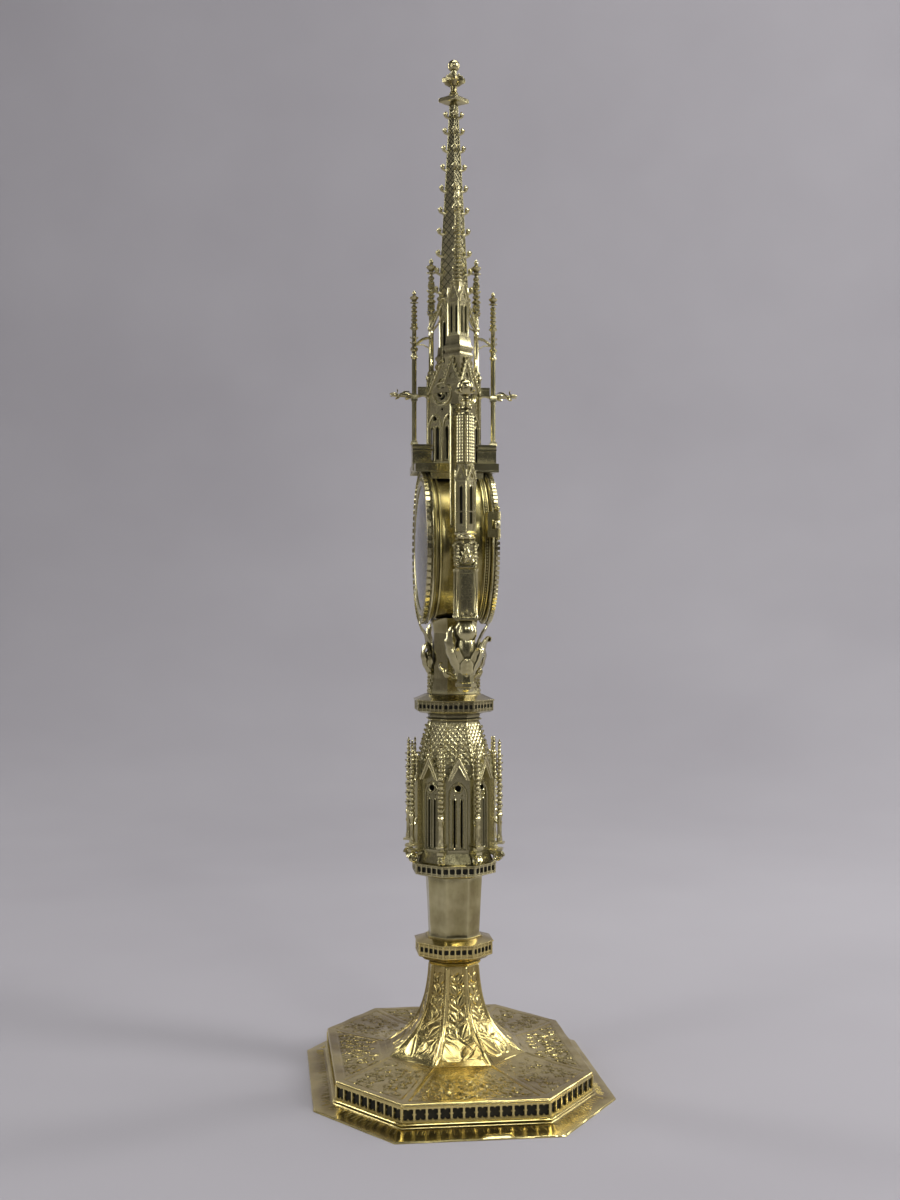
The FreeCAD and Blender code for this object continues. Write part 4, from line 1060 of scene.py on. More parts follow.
make_collar(
    "neck_pierced_collar", "neck_collar",
    ((0.58, 0.0), (0.66, 0.0), (0.7, 0.1), (0.68, 0.14), (0.82, 0.2), (0.9, 0.3), (0.97, 0.33), (1.0, 0.36),
     (1.0, 0.4)),
    ((1.0, 0.79), (1.03, 0.81), (1.03, 0.84), (0.97, 0.87), (0.78, 0.95), (0.73, 0.965), (0.73, 1.0)),
    (0.4, 0.79), 5, (FOOT_GOLD, SHADE_BLACK),
)
make_collar(
    "knop_base_pierced", "knop_base",
    ((0.62, 0.0), (0.72, 0.0), (0.78, 0.04), (0.9, 0.09), (0.92, 0.12), (1.0, 0.14), (1.0, 0.18)),
    ((1.0, 0.5), (1.02, 0.52), (1.02, 0.55), (0.97, 0.57), (0.93, 0.6), (0.86, 0.9), (0.84, 1.0)),
    (0.18, 0.5), 5, (LEAF_GOLD, SHADE_BLACK),
)
make_collar(
    "upper_pierced_collar", "upper_collar",
    ((0.62, 0.0), (0.66, 0.0), (0.66, 0.1), (0.8, 0.16), (0.93, 0.2), (0.97, 0.24), (1.0, 0.27)),
    ((1.0, 0.66), (1.03, 0.69), (1.03, 0.73), (0.98, 0.76), (0.75, 0.93), (0.68, 0.96), (0.68, 1.0)),
    (0.27, 0.66), 6, (LEAF_GOLD, SHADE_BLACK),
)


def make_plain_stem(name, node, profile, materials, dents=0.5, rows=24, per_side=6):
    """Plain octagonal stem of beaten sheet; profile rows are (share of radius, share of height)."""
    low, high = base_and_top(node)
    radius = octagon_radius(node)
    shares = [row[1] for row in profile]
    radii = [row[0] for row in profile]
    rings = []
    for step in range(rows + 1):
        v = step / rows
        reach = radius * float(np.interp(v, shares, radii))
        corners = [Vector(corner) for corner in ring(reach, low + (high - low) * v)]
        points = []
        for start, end in zip(corners, corners[1:] + corners[:1]):
            for part in range(per_side):
                point = start.lerp(end, part / per_side)
                inward = Vector((point.x, point.y, 0)).normalized()
                dent = noise.noise(point * 0.13 + Vector((3, 1, 7))) * dents
                points.append(point + inward * (dent if part else 0.0))
        rings.append(points)
    piece(name, loft(rings), "stand", materials, (node,), 0.0, 30)


make_plain_stem("lower_stem_sheet", "lower_stem",
                ((0.93, 0.0), (0.9, 0.03), (0.91, 0.1), (1.0, 0.97), (1.0, 1.0)), (PLAIN_GOLD,))


# ---------------------------------------------------------------- knop

KNOP_LOW, KNOP_HIGH = base_and_top("knop_walls")
KNOP_APOTHEM = half_width("knop_walls")
KNOP_SIDE = 2 * KNOP_APOTHEM * math.tan(TURN)


def make_knop_walls():
    rise = KNOP_HIGH - KNOP_LOW
    sill = KNOP_LOW + 3.0
    spring = KNOP_LOW + 30.0
    lights = [lancet(x, sill, spring, 0.95) for x in (-2.1, 2.1)]
    eye = circle(0, KNOP_LOW + 37.6, 2.3, 18)
    outer = [
        (-KNOP_SIDE / 2, KNOP_LOW), (KNOP_SIDE / 2, KNOP_LOW), (KNOP_SIDE / 2, KNOP_HIGH),
        (-KNOP_SIDE / 2, KNOP_HIGH)
    ]
    wall = plate(outer, lights + [eye], -1.5, 0.0)
    for outline in lights:
        wall.join(framed_opening(outline, 0.42, 0.15))
    wall.join(framed_opening(eye, 0.55, 0.2))
    wall.join(framed_opening(lancet(0, sill - 1.0, spring + 3.5, 5.0, 1.6), 0.5, 0.25))
    for x in (-2.3, 2.3):
        wall.join(ball((x, 0.35, sill - 0.6), 0.6, 5, 8))
        wall.join(ball((x, 0.3, spring + 3.4), 0.5, 5, 8))
    wall.join(box((-6.4, -0.2, sill - 2.2), (6.4, 0.7, sill - 1.2)))
    form = Form()
    for number in range(8):
        form.join(wall, facet(part_turn(number, 8), KNOP_APOTHEM))
    # A near-black core behind the lancets: painted shade for the hollow inside.
    form.join(column([(KNOP_APOTHEM - 2.2, KNOP_LOW), (KNOP_APOTHEM - 2.2, KNOP_LOW + rise)], material=1))
    # The walls take the darker gilt copy: painted shade.
    piece("knop_chapel_walls", form, "stand", (SHADED_WALL_GOLD, SHADE_BLACK), ("knop_walls",), 0.0,
          PLAIN_CREASE)


def spiral_rosette(radius):
    """Snail-like curl in the X-Z plane, about the origin."""
    path = []
    radii = []
    for step in range(30):
        share = step / 29
        angle = share * math.tau * 1.9
        reach = radius * (1 - 0.82 * share)
        path.append((reach * math.cos(angle), 0.5 * share, reach * math.sin(angle)))
        radii.append(radius * (0.24 - 0.06 * share))
    return tube(path, radii, 6)


def make_knop_buttresses():
    high = base_and_top("knop_buttresses")[1]
    reach = half_width("knop_buttresses") / math.cos(TURN)
    reach = max(reach, 30.0)
    shaft_at = reach - 2.6
    inner = KNOP_APOTHEM / math.cos(TURN)
    form = box((inner - 1.2, -1.2, KNOP_LOW), (inner + 3.0, 1.2, KNOP_LOW + 44))
    form.join(box((inner - 0.5, -1.9, KNOP_LOW - 0.2), (reach - 0.8, 1.9, KNOP_LOW + 1.4)))
    form.join(box((inner - 0.5, -2.3, KNOP_LOW + 3.8), (reach + 0.1, 2.3, KNOP_LOW + 5.0)))
    for level, rise in ((KNOP_LOW + 16.0, 3.2), (KNOP_LOW + 41.5, 3.6)):
        arch = [(inner + 2.0, 0, level + rise), (inner + 3.6, 0, level + rise * 0.35),
                (shaft_at - 1.0, 0, level),
                (shaft_at + 1.4, 0, level - 0.2)]
        form.join(tube(arch, [1.25, 1.1, 1.0, 1.2], 6))
    form.join(column([(1.75, KNOP_LOW + 4.8), (1.75, KNOP_LOW + 7.5), (1.35, KNOP_LOW + 8.6),
                      (1.35, KNOP_LOW + 19.0),
                      (1.9, KNOP_LOW + 19.8), (1.9, KNOP_LOW + 21.0), (1.3, KNOP_LOW + 22)], 8, TURN,
                      (shaft_at, 0)))
    form.join(beaded_shaft(1.75, KNOP_LOW + 21.5, KNOP_LOW + 45.0, 2.6, (shaft_at, 0), 0.95))
    form.join(beaded_shaft(1.6, KNOP_LOW + 45.0, high - 3.0, 2.4, (shaft_at, 0), 0.55))
    form.join(ringed_tip(1.1, high - 4.5, high, (shaft_at, 0)))
    for level in (KNOP_LOW + 26.0, KNOP_LOW + 31.5, KNOP_LOW + 37.0, KNOP_LOW + 47.0, KNOP_LOW + 51.0,
                  KNOP_LOW + 55.0):
        for turn in (0, math.pi / 2, -math.pi / 2):
            matrix = Matrix.Translation((shaft_at, 0, 0)) @ facet(turn, 1.1, level)
            form.join(crocket(0.78), matrix)
    for side in (-1.25, 1.25):
        form.join(beaded_shaft(0.95, KNOP_LOW + 44.5, high - 8.0, 2.2, (shaft_at - 2.4, side), 0.6))
    path = [(inner - 0.6, 0, KNOP_LOW - 0.6), (inner + 2.4, 0, KNOP_LOW - 2.2),
            (reach - 1.2, 0, KNOP_LOW - 1.6)]
    form.join(tube(path, [1.2, 1.3, 1.1], 6))
    for side in (-1, 1):
        curl = spiral_rosette(3.1)
        matrix = Matrix.Translation((reach - 3.2, side * 0.9, KNOP_LOW - 3.6))
        form.join(curl, matrix @ Matrix.Scale(side, 4, (0, 1, 0)))
    form.join(ball((reach - 3.2, 0, KNOP_LOW - 3.6), 1.2, 6, 8))
    whole = Form().around(form, 8, TURN)
    piece("knop_buttress_ring", whole, "stand", (LEAF_GOLD,), ("knop_buttresses",), 0.0,
          ORNAMENT_CREASE)


def make_knop_gables():
    low, high = base_and_top("knop_gables")
    form = Form()
    foot, apex = low + 0.6, high - 0.8
    hood = plate([(-6.4, foot), (0, apex), (6.4, foot), (4.7, foot), (0, apex - 4.6), (-4.7, foot)], [],
                 -0.4, 3.0)
    for side in (-1, 1):
        hood.join(tube([(side * 6.3, 2.9, foot - 0.2), (0, 2.9, apex)], 0.75, 6))
        hood.join(tube([(side * 4.6, 2.9, foot), (0, 2.9, apex - 4.4)], 0.45, 6))
    hood.join(raking_crockets(6.9, foot, apex + 0.6, 2.4, 4, 1.25))
    hood.join(flower(1.3), Matrix.Translation((0, 2.4, apex + 0.2)))
    for number in range(8):
        form.join(hood, facet(part_turn(number, 8), KNOP_APOTHEM + 0.3))
    piece("knop_gable_hoods", form, "stand", (LEAF_GOLD,), ("knop_gables",), 0.0,
          ORNAMENT_CREASE)


def make_knop_roof():
    low, high = base_and_top("knop_roof")
    top_radius = octagon_radius("upper_ring") * 0.93
    base_radius = octagon_radius("knop_roof") * 0.98
    form = column([(base_radius - 0.4, low), (top_radius, high)])
    cos, tan = math.cos(TURN), math.tan(TURN)
    skin = lozenge_facet(
        base_radius * cos * tan, top_radius * cos * tan, low, high,
        (base_radius - 0.4) * cos, top_radius * cos, 4, 6, 0.3,
    )
    for number in range(8):
        form.join(skin, facet(part_turn(number, 8), 0))
    edge = tube([(base_radius, 0, low), (top_radius + 0.1, 0, high)], 0.6, 6)
    for number in range(8):
        share = 0.06 + 0.115 * number
        reach = base_radius + (top_radius - base_radius) * share
        edge.join(crocket(1.35), facet(0, reach, low + (high - low) * share))
    for side in (-1, 1):
        for number in range(4):
            share = 0.05 + 0.14 * number
            reach = (base_radius + (top_radius - base_radius) * share) * 0.985
            edge.join(crocket(1.1), facet(side * 0.16, reach, low + (high - low) * share))
    form.around(edge, 8, TURN)
    form.around(beaded_shaft(1.0, low + 1.0, low + 15.0, 2.4, (base_radius + 1.6, 0), 0.6), 8, 0.0)
    piece("knop_net_roof", form, "stand", (LEAF_GOLD,), ("knop_roof",), 0.0, ORNAMENT_CREASE)


def make_upper_ring():
    low, high = base_and_top("upper_ring")
    radius = octagon_radius("upper_ring")
    rows = ((0.9, 0.0), (0.94, 0.1), (0.94, 0.3), (1.02, 0.4), (1.05, 0.55), (1.02, 0.7), (0.95, 0.8),
            (0.95, 1.0))
    form = column([(radius * r, low + (high - low) * z) for r, z in rows])
    piece("upper_ring_moulding", form, "stand", (LEAF_GOLD,), ("upper_ring",), 0.1,
          PLAIN_CREASE)


make_knop_walls()
make_knop_buttresses()
make_knop_gables()
make_knop_roof()
make_upper_ring()

# ---------------------------------------------------------------- capsule

drum_low, drum_high = span("capsule_drum")
DRUM_LEVEL = (drum_low.z + drum_high.z) / 2
MIRROR = Matrix.Scale(-1, 4, (1, 0, 0))
HALF_TURN = Matrix.Rotation(math.pi, 4, "Z")
QUARTER = math.pi / 4


def turned_on_drum(rows, segments=120, dents=0.0):
    """Ring turned about the capsule's axis; rows of (depth, radius) go round its closed section."""
    rings = []
    for depth, radius in rows:
        points = []
        for number in range(segments):
            angle = math.tau * number / segments
            place = Vector((radius * math.cos(angle), depth, radius * math.sin(angle)))
            reach = 1 + dents * noise.noise(place * 0.09) / radius
            points.append((place.x * reach, depth, DRUM_LEVEL + place.z * reach))
        rings.append(points)
    return loft(rings + rings[:1], False)


def drum_ornament(form, count, radius, start=0.0):
    """Copies of a form round the capsule; its own Z axis points away from the capsule's axis."""
    ring_form = Form()
    for number in range(count):
        angle = start + math.tau * number / count
        place = Matrix.Translation((0, 0, DRUM_LEVEL)) @ Matrix.Rotation(angle, 4, "Y")
        ring_form.join(form, place @ Matrix.Translation((0, 0, radius)))
    return ring_form


def make_drum():
    half = drum_high.y
    rows = [
        (-half, 39.4), (half, 39.4), (half, 42.5), (half - 0.4, 42.85), (half - 1.0, 42.85),
        (half - 1.3, 42.3),
        (half - 2.4, 42.3), (half - 2.7, 42.85), (half - 3.2, 42.85), (half - 3.5, 42.0),
        (half - 4.2, 41.6),
    ]
    plain = 14
    for number in range(plain + 1):
        rows.append((half - 4.6 - (2 * half - 9.0) * number / plain, 41.45))
    rows += [
        (-half + 4.1, 41.8), (-half + 3.8, 42.5), (-half + 3.3, 42.8), (-half + 2.8, 42.5),
        (-half + 2.5, 41.9),
        (-half + 1.6, 41.9), (-half + 1.3, 42.7), (-half + 0.5, 42.85), (-half, 42.6),
    ]
    form = turned_on_drum(rows, 120, 0.6)
    bead = ball((0, half - 1.85, 0), 0.5, 4, 6)
    form.join(drum_ornament(bead, 150, 42.4))
    piece("capsule_drum_sheet", form, "stand", (SHEET_GOLD,), ("capsule_drum",), 0.0,
          PLAIN_CREASE)


def bezel_form(side, start, merlons):
    """Bezel with stepped mouldings and a crenellated strip that stands out round the glass."""
    rows = [
        (0.0, 38.4), (0.0, 43.9), (0.3, 44.7), (0.9, 45.0), (1.3, 44.8), (1.5, 44.4), (3.4, 43.8),
        (3.7, 43.3),
        (3.5, 43.0), (3.3, 42.2), (3.3, 40.2), (3.9, 39.6), (4.2, 38.8), (4.2, 37.6), (3.7, 36.6),
        (3.4, 36.6), (3.4, 38.4),
    ]
    form = turned_on_drum([(side * (start + depth), radius) for depth, radius in rows])
    width = math.tau * 44 / merlons * 0.33
    near, far = sorted((side * (start + 2.3), side * (start + 4.55)))
    merlon = box((-width, near, -0.6), (width, far, 0.55))
    form.join(drum_ornament(merlon, merlons, 44.3))
    bead = ball((0, side * (start + 3.45), 0), 0.42, 4, 6)
    form.join(drum_ornament(bead, 130, 41.2))
    return form


def make_bezels():
    front = bezel_form(-1, drum_high.y, 68)
    piece("front_bezel_cresting", front, "stand", (LEAF_GOLD,), ("front_bezel",), 0.0,
          PLAIN_CREASE)
    high = span("door_frame")[1]
    rear = bezel_form(1, high.y - 4.6, 98)
    pin = frame_point("hinge_pin")
    knuckle = [
        ring(radius, level, 20, 0.0, pin)
        for radius, level in ((0.9, 320.8), (1.7, 320.8), (1.88, 321.1), (1.88, 324.9), (1.7, 325.2),
                              (0.9, 325.2))
    ]
    rear.join(loft(knuckle + knuckle[:1], False))
    rear.join(box((43.6, pin[1] - 1.5, 320.95), (47.0, pin[1] + 1.5, 325.05)))
    piece("rear_door_cresting", rear, "door", (LEAF_GOLD,), ("door_frame",), 0.0,
          PLAIN_CREASE)


def frame_point(node):
    """Middle of a node seen from above."""
    low, high = span(node)
    middle = (low + high) / 2
    return (middle.x, middle.y)


make_drum()
make_bezels()
for node in ("front_glass", "rear_glass"):
    finish_node(node, GLASS, 0)
for node in ("lunula_clip", "lunula_foot", "lunula_rail"):
    finish_node(node, BRIGHT_GOLD)
for node in ("tie_rod", "rod_nut", "rod_washer"):
    finish_node(node, IRON)
for node in ("hinge_pin", "hinge_leaf", "latch_post", "latch_button"):
    finish_node(node, SHEET_GOLD)
finish_node("upper_stem", PLAIN_GOLD, 0.3)

# ---------------------------------------------------------------- brackets and piers

PIER_X = frame_point("pier_knob_right")[0]


def smooth_path(points, steps=5):
    """Catmull-Rom curve through points of any dimension."""
    points = [np.array(point, dtype=float) for point in points]
    padded = [2 * points[0] - points[1], *points, 2 * points[-1] - points[-2]]
    path = []
    for number in range(1, len(padded) - 2):
        a, b, c, d = padded[number - 1:number + 3]
        for step in range(steps):
            t = step / steps
            path.append(0.5 * (2 * b + (c - a) * t + (2 * a - 5 * b + 4 * c - d) * t**2
                               + (3 * b - a - 3 * c + d) * t**3))
    path.append(points[-1])
    return path


def leaf(path, thickness=0.7, cup=0.28, lobes=5, cut_depth=0.22):
    """Curled leaf with a vein: path rows are (outward, up, half width); it is lofted as a closed skin."""
    rows = smooth_path(path, 5)
    rings = []
    count = len(rows)
    for number, (out, up, width) in enumerate(rows):
        before = rows[max(0, number - 1)]
        after = rows[min(count - 1, number + 1)]
        run = Vector((0, after[0] - before[0], after[1] - before[1])).normalized()
        normal = Vector((0, run.z, -run.y))
        share = number / (count - 1)
        edge = max(0.15, width * (1 - cut_depth * (0.5 + 0.5 * math.cos(math.tau * lobes * share))))
        front, back = [], []
        for step in range(9):
            u = step / 4 - 1
            sag = -cup * edge * u * u + 0.28 * thickness * math.exp(-(u / 0.16) ** 2)
            crease = 0.18 * thickness * math.sin(math.tau * lobes * share * 2 + abs(u) * 5) * (1 - abs(u))
            place = Vector((edge * u, out, up)) + normal * (sag + crease)
            front.append(place + normal * thickness * 0.5 * (1 - 0.6 * abs(u)))
            back.append(place - normal * thickness * 0.5 * (1 - 0.6 * abs(u)))
        rings.append(front + back[::-1])
    return loft(rings)


def ribbed(rows, ribs, depth, centre=(0.0, 0.0), segments=48):
    """Melon-shaped column whose radius swells between its ribs."""
    rings = []
    for radius, level in rows:
        rings.append([
            (
                centre[0] + radius * (1 - depth + depth * abs(math.sin(ribs * math.pi * step / segments))) *
                math.cos(math.tau * step / segments),
                centre[1] + radius * (1 - depth + depth * abs(math.sin(ribs * math.pi * step / segments))) *
                math.sin(math.tau * step / segments),
                level,
            )
            for step in range(segments)
        ])
    return loft(rings)


def on_pier(form):
    """Moves a form made about the vertical axis to the pier on the +X side."""
    return Form().join(form, Matrix.Translation((PIER_X, 0, 0)))


def pair(name, form, node, materials=None, bevel=0.0, sharp=38):
    """Makes a piece for the right side and its mirror image for the left."""
    for side, matrix in (("right", None), ("left", MIRROR)):
        piece(
            f"{name}_{side}", Form().join(form, matrix), "stand", materials or (LEAF_GOLD, SHADE_BLACK),
            (f"{node}_{side}",), bevel, sharp,
        )


def make_brackets():
    base = base_and_top("leaf_bracket_right")[0]
    calyx = column([(3.4, base + 0.4), (4.6, base + 1.6), (4.6, base + 2.6), (6.0, base + 3.4),
                    (6.0, base + 5.2),
                    (5.0, base + 6.0), (4.6, base + 12.0), (5.6, base + 13.0), (5.4, base + 26.0)])
    tall = leaf([(3.8, base + 9.5, 2.8), (6.2, base + 14.0, 4.8), (8.8, base + 19.0, 6.4),
                 (10.5, base + 24.5, 6.8),
                 (10.8, base + 29.5, 5.8), (9.6, base + 33.8, 4.0), (7.8, base + 36.2, 2.2),
                 (6.6, base + 35.4, 0.9)],
                1.0, 0.5, 3, 0.08)
    open_leaf = leaf([(3.8, base + 9.5, 2.8), (6.4, base + 14.0, 4.8), (8.8, base + 19.0, 6.2),
                      (10.4, base + 24.0, 5.8),
                      (11.8, base + 28.0, 4.4), (13.4, base + 30.4, 2.4), (13.8, base + 28.4, 0.9)], 1.0,
                      0.4, 3, 0.12)
    near = leaf([(4.0, base + 9.0, 2.6), (5.8, base + 11.5, 3.6), (6.9, base + 14.5, 3.8),
                 (8.2, base + 17.4, 2.6),
                 (9.4, base + 18.6, 1.4), (9.6, base + 17.2, 0.6)], 0.9, 0.35, 3, 0.12)
    curl = leaf([(4.8, base + 14.0, 1.8), (7.0, base + 18.0, 3.0), (8.8, base + 22.0, 3.0),
                 (11.2, base + 24.6, 2.2),
                 (11.8, base + 22.6, 1.2)], 0.8, 0.3, 2, 0.2)
    for angle, shape in ((90, open_leaf), (270, tall), (0, near), (180, near), (40, curl), (140, curl),
                         (220, curl), (320, curl)):
        calyx.join(shape, facet(math.radians(angle), 0))
    form = on_pier(calyx)
    branch = smooth_path([(13.2, 0, base + 12.0), (20.0, 0, base + 7.0), (30.0, 0, base + 3.0),
                          (41.0, 0, base + 3.4),
                          (PIER_X - 2, 0, base + 6.0)], 8)
    form.join(tube(branch, [2.3 + 0.35 * math.sin(step * 1.9) for step in range(len(branch))], 10))
    spray = leaf([(0.0, 0.0, 1.4), (3.0, 2.2, 3.0), (6.4, 3.0, 3.6), (9.6, 5.4, 2.8), (9.8, 8.2, 1.8),
                  (8.0, 8.6, 0.9)],
                 0.7, 0.3, 3, 0.3)
    for x, level, side, lean in ((24.0, 6.5, 1, 0.3), (24.0, 6.5, -1, 0.3), (37.0, 4.0, 1, -0.4),
                                 (37.0, 4.0, -1, -0.4)):
        turn = facet(side * math.radians(90) + lean * side, 0)
        form.join(spray, Matrix.Translation((x, side * 1.6, base + level)) @ turn)
    pair("leaf_bracket_foliage", form, "leaf_bracket")


def make_niches():
    base, top = base_and_top("pier_niche_right")
    floor = base + 14.0
    form = ribbed([(3.4, base - 14.0), (5.4, base - 11.0), (6.3, base - 5.0), (6.1, base + 1.0),
                   (5.4, base + 3.2),
                   (6.5, base + 5.4), (6.9, base + 7.8), (6.3, base + 10.6), (4.8, base + 12.8),
                   (3.6, base + 14.2)], 4, 0.08)
    form.join(column([(6.8, floor), (7.8, floor + 0.6), (7.8, floor + 1.6), (6.6, floor + 2.4)], 4,
                     math.pi / 4))
    form.join(column([(6.0, floor + 2.2), (6.0, top - 1.0)], 4, math.pi / 4))
    form.join(column([(6.4, top - 2.4), (7.9, top - 1.4), (7.9, top - 0.4), (7.0, top)], 4, math.pi / 4))
    shaft = round_column([(1.3, floor + 1.6), (1.3, floor + 2.8), (0.85, floor + 3.4), (0.85, top - 4.0),
                          (1.3, top - 3.2), (1.3, top - 2.0)], 10, (5.3, 5.3))
    form.around(shaft, 4)
    panel = framed_opening([(-3.3, floor + 3.6), (3.3, floor + 3.6), (3.3, top - 4.6), (-3.3, top - 4.6)],
                           0.22, 0.0)
    for number in range(4):
        side = facet(part_turn(number, 4), 4.25)
        form.join(panel, side)
        for x in (-2.6, 0.0, 2.6):
            form.join(crocket(1.5), side @ Matrix.Translation((x, 0.3,
                floor + 3.2 + (1.2 if x == 0 else 0))))
    pair("pier_niche_shrine", on_pier(form), "pier_niche", None, 0.08)


def make_canopies():
    base, top = base_and_top("pier_canopy_right")
    form = column([(5.6, base), (6.3, base + 0.6), (6.3, base + 2.0), (5.0, base + 3.0), (5.0, top - 5.5),
                   (6.0, top - 4.6),
                   (6.0, top - 3.8), (4.6, top - 3.0), (5.6, top - 1.6), (5.6, top - 0.8), (5.0, top)])
    arch = gablet(3.4, base + 2.2, base + 9.6, 1.4, 0.7, 3, 1.1, True, True)
    for number in range(4):
        form.join(arch, facet(part_turn(number, 4), 5.2))
    corner = ball((7.0, 0, base + 0.6), 1.25, 6, 10)
    corner.join(beaded_shaft(1.15, base + 1.6, base + 9.6, 2.0, (6.8, 0), 0.7))
    corner.join(ball((6.8, 0, base + 10.2), 0.85, 5, 8))
    corner.join(round_column([(0.3, base - 2.0), (0.75, base - 1.2), (0.4, base - 0.4)], 8, (7.0, 0)))
    form.around(corner, 4, math.pi / 4)
    for number in range(8):
        for level, reach, size in ((base + 11.8, 4.9, 1.3), (base + 14.6, 4.4, 1.1)):
            form.join(crocket(size), facet(math.tau * (number + 0.5) / 8, reach, level))
    placed = on_pier(form)
    boss = ball((0, 0.6, 0), 2.7, 10, 14)
    for number in range(5):
        boss.join(crocket(1.9), Matrix.Rotation(math.tau * number / 5, 4,
                                                "Y") @ Matrix.Translation((0, 0.4, 1.6)))
    placed.join(boss, Matrix.Translation((PIER_X + 6.0, 0.6, base + 4.2)) @ Matrix.Rotation(-math.pi / 2, 4,
        "Z"))
    placed.join(box((41.9, -2.8, DRUM_LEVEL - 3.6), (48.6, 2.8, DRUM_LEVEL + 2.6)))
    pair("pier_canopy_gablets", placed, "pier_canopy")


def make_shafts():
    base, top = base_and_top("pier_shaft_right")
    eaves = base + 39.0
    reach = 5.3
    inset = reach / math.sqrt(2)
    form = column([(reach * 1.12, base), (reach * 1.2, base + 0.8), (reach, base + 1.8),
                   (reach * 0.98, base + 2.4)], 4, 0)
    # A near-black core behind the lancet: painted shade for the hollow inside.
    form.join(column([(reach - 1.6, base + 2.0), (reach - 1.6, eaves)], 4, 0, material=1))
    light = [lancet(0, base + 6.0, eaves - 13.5, 1.35)]
    wall = plate([(-inset, base + 2), (inset, base + 2), (inset, eaves), (-inset, eaves)], light, -0.9, 0.0)
    for outline in light:
        wall.join(framed_opening(outline, 0.34, 0.12))
    wall.join(gablet(inset + 0.2, eaves - 9.0, eaves - 0.6, 1.2, 0.5, 3, 0.75, True, False))
    wall.join(box((-inset, -0.2, base + 12.4), (inset, 0.45, base + 13.2)))
    for number in range(4):
        form.join(wall, facet(math.pi / 4 + part_turn(number, 4), inset))
    form.around(round_column([(0.65, base + 1.6), (0.65, eaves - 3.0)], 8, (reach + 0.1, 0)), 4)
    form.join(column([(reach * 0.9, eaves - 1.0), (reach * 0.92, eaves), (reach * 0.62, eaves + 1.4),
                      (reach * 0.6, eaves + 5)],
                     4, 0))
    form.join(column([(4.4, eaves + 1.5), (3.9, top - 7.0)], 4, 0))
    for number in range(12):
        turn = math.tau * number / 12
        reach_here = 4.1 if number % 3 == 0 else 3.35
        strand = (reach_here * math.cos(turn), reach_here * math.sin(turn))
        form.join(beaded_shaft(0.78, eaves + 1.0, top - 7.4, 1.7, strand, 0.95, 6))
    form.join(round_column([(2.4, top - 7.6), (4.2, top - 7.0), (4.2, top - 6.2), (2.6, top - 5.6),
                            (2.4, top - 4.4),
                            (3.9, top - 3.8), (3.9, top - 3.0), (2.2, top - 2.2), (2.2, top)], 16))
    placed = on_pier(form)
    placed.join(box((43.2, -7.2, base + 5), (44.6, -0.9, top)))
    placed.join(box((42.9, -7.6, base + 4), (45.2, -0.5, base + 6)))
    placed.join(box((42.9, -7.6, top - 1.2), (45.2, -0.5, top)))
    for level in (base + 12, base + 38, base + 62):
        placed.join(box((44.0, -2.2, level), (49.5, -0.9, level + 1.8)))
    for y in (-7.2, -0.9):
        placed.join(round_column([(0.5, base + 5), (0.5, top)], 8, (44.6, y)))
    pair("pier_shaft_tracery", placed, "pier_shaft")


def make_knobs():
    base, top = base_and_top("pier_knob_right")
    centre = top - 4.9
    rows = [(2.2, base), (3.2, base + 0.7), (3.3, base + 1.4), (2.0, base + 2.2), (1.8, base + 3.0),
            (2.6, base + 3.7),
            (2.4, base + 4.4)]
    for step in range(9):
        angle = math.radians(-55 + 145 * step / 8)
        rows.append((4.9 * math.cos(angle) + 0.02, centre + 4.85 * math.sin(angle)))
    form = round_column(rows, 24)
    form.join(tube([(4.85 * math.cos(a), 4.85 * math.sin(a), centre) for a in np.linspace(0, math.tau,
        24)[:-1]], 0.3, 6,
                   closed=True))
    for number in range(4):
        turn = QUARTER + part_turn(number, 4)
        arm = Vector((math.cos(turn), math.sin(turn), 0))
        form.join(tube([arm * 3.4 + UP * (centre - 2.2), arm * 5.0 + UP * (centre - 2.4),
                        arm * 6.2 + UP * (centre - 1.0)],
                       [1.0, 0.9, 1.5], 8))
    pair("pier_knob_ball", on_pier(form), "pier_knob", (PLAIN_GOLD,))


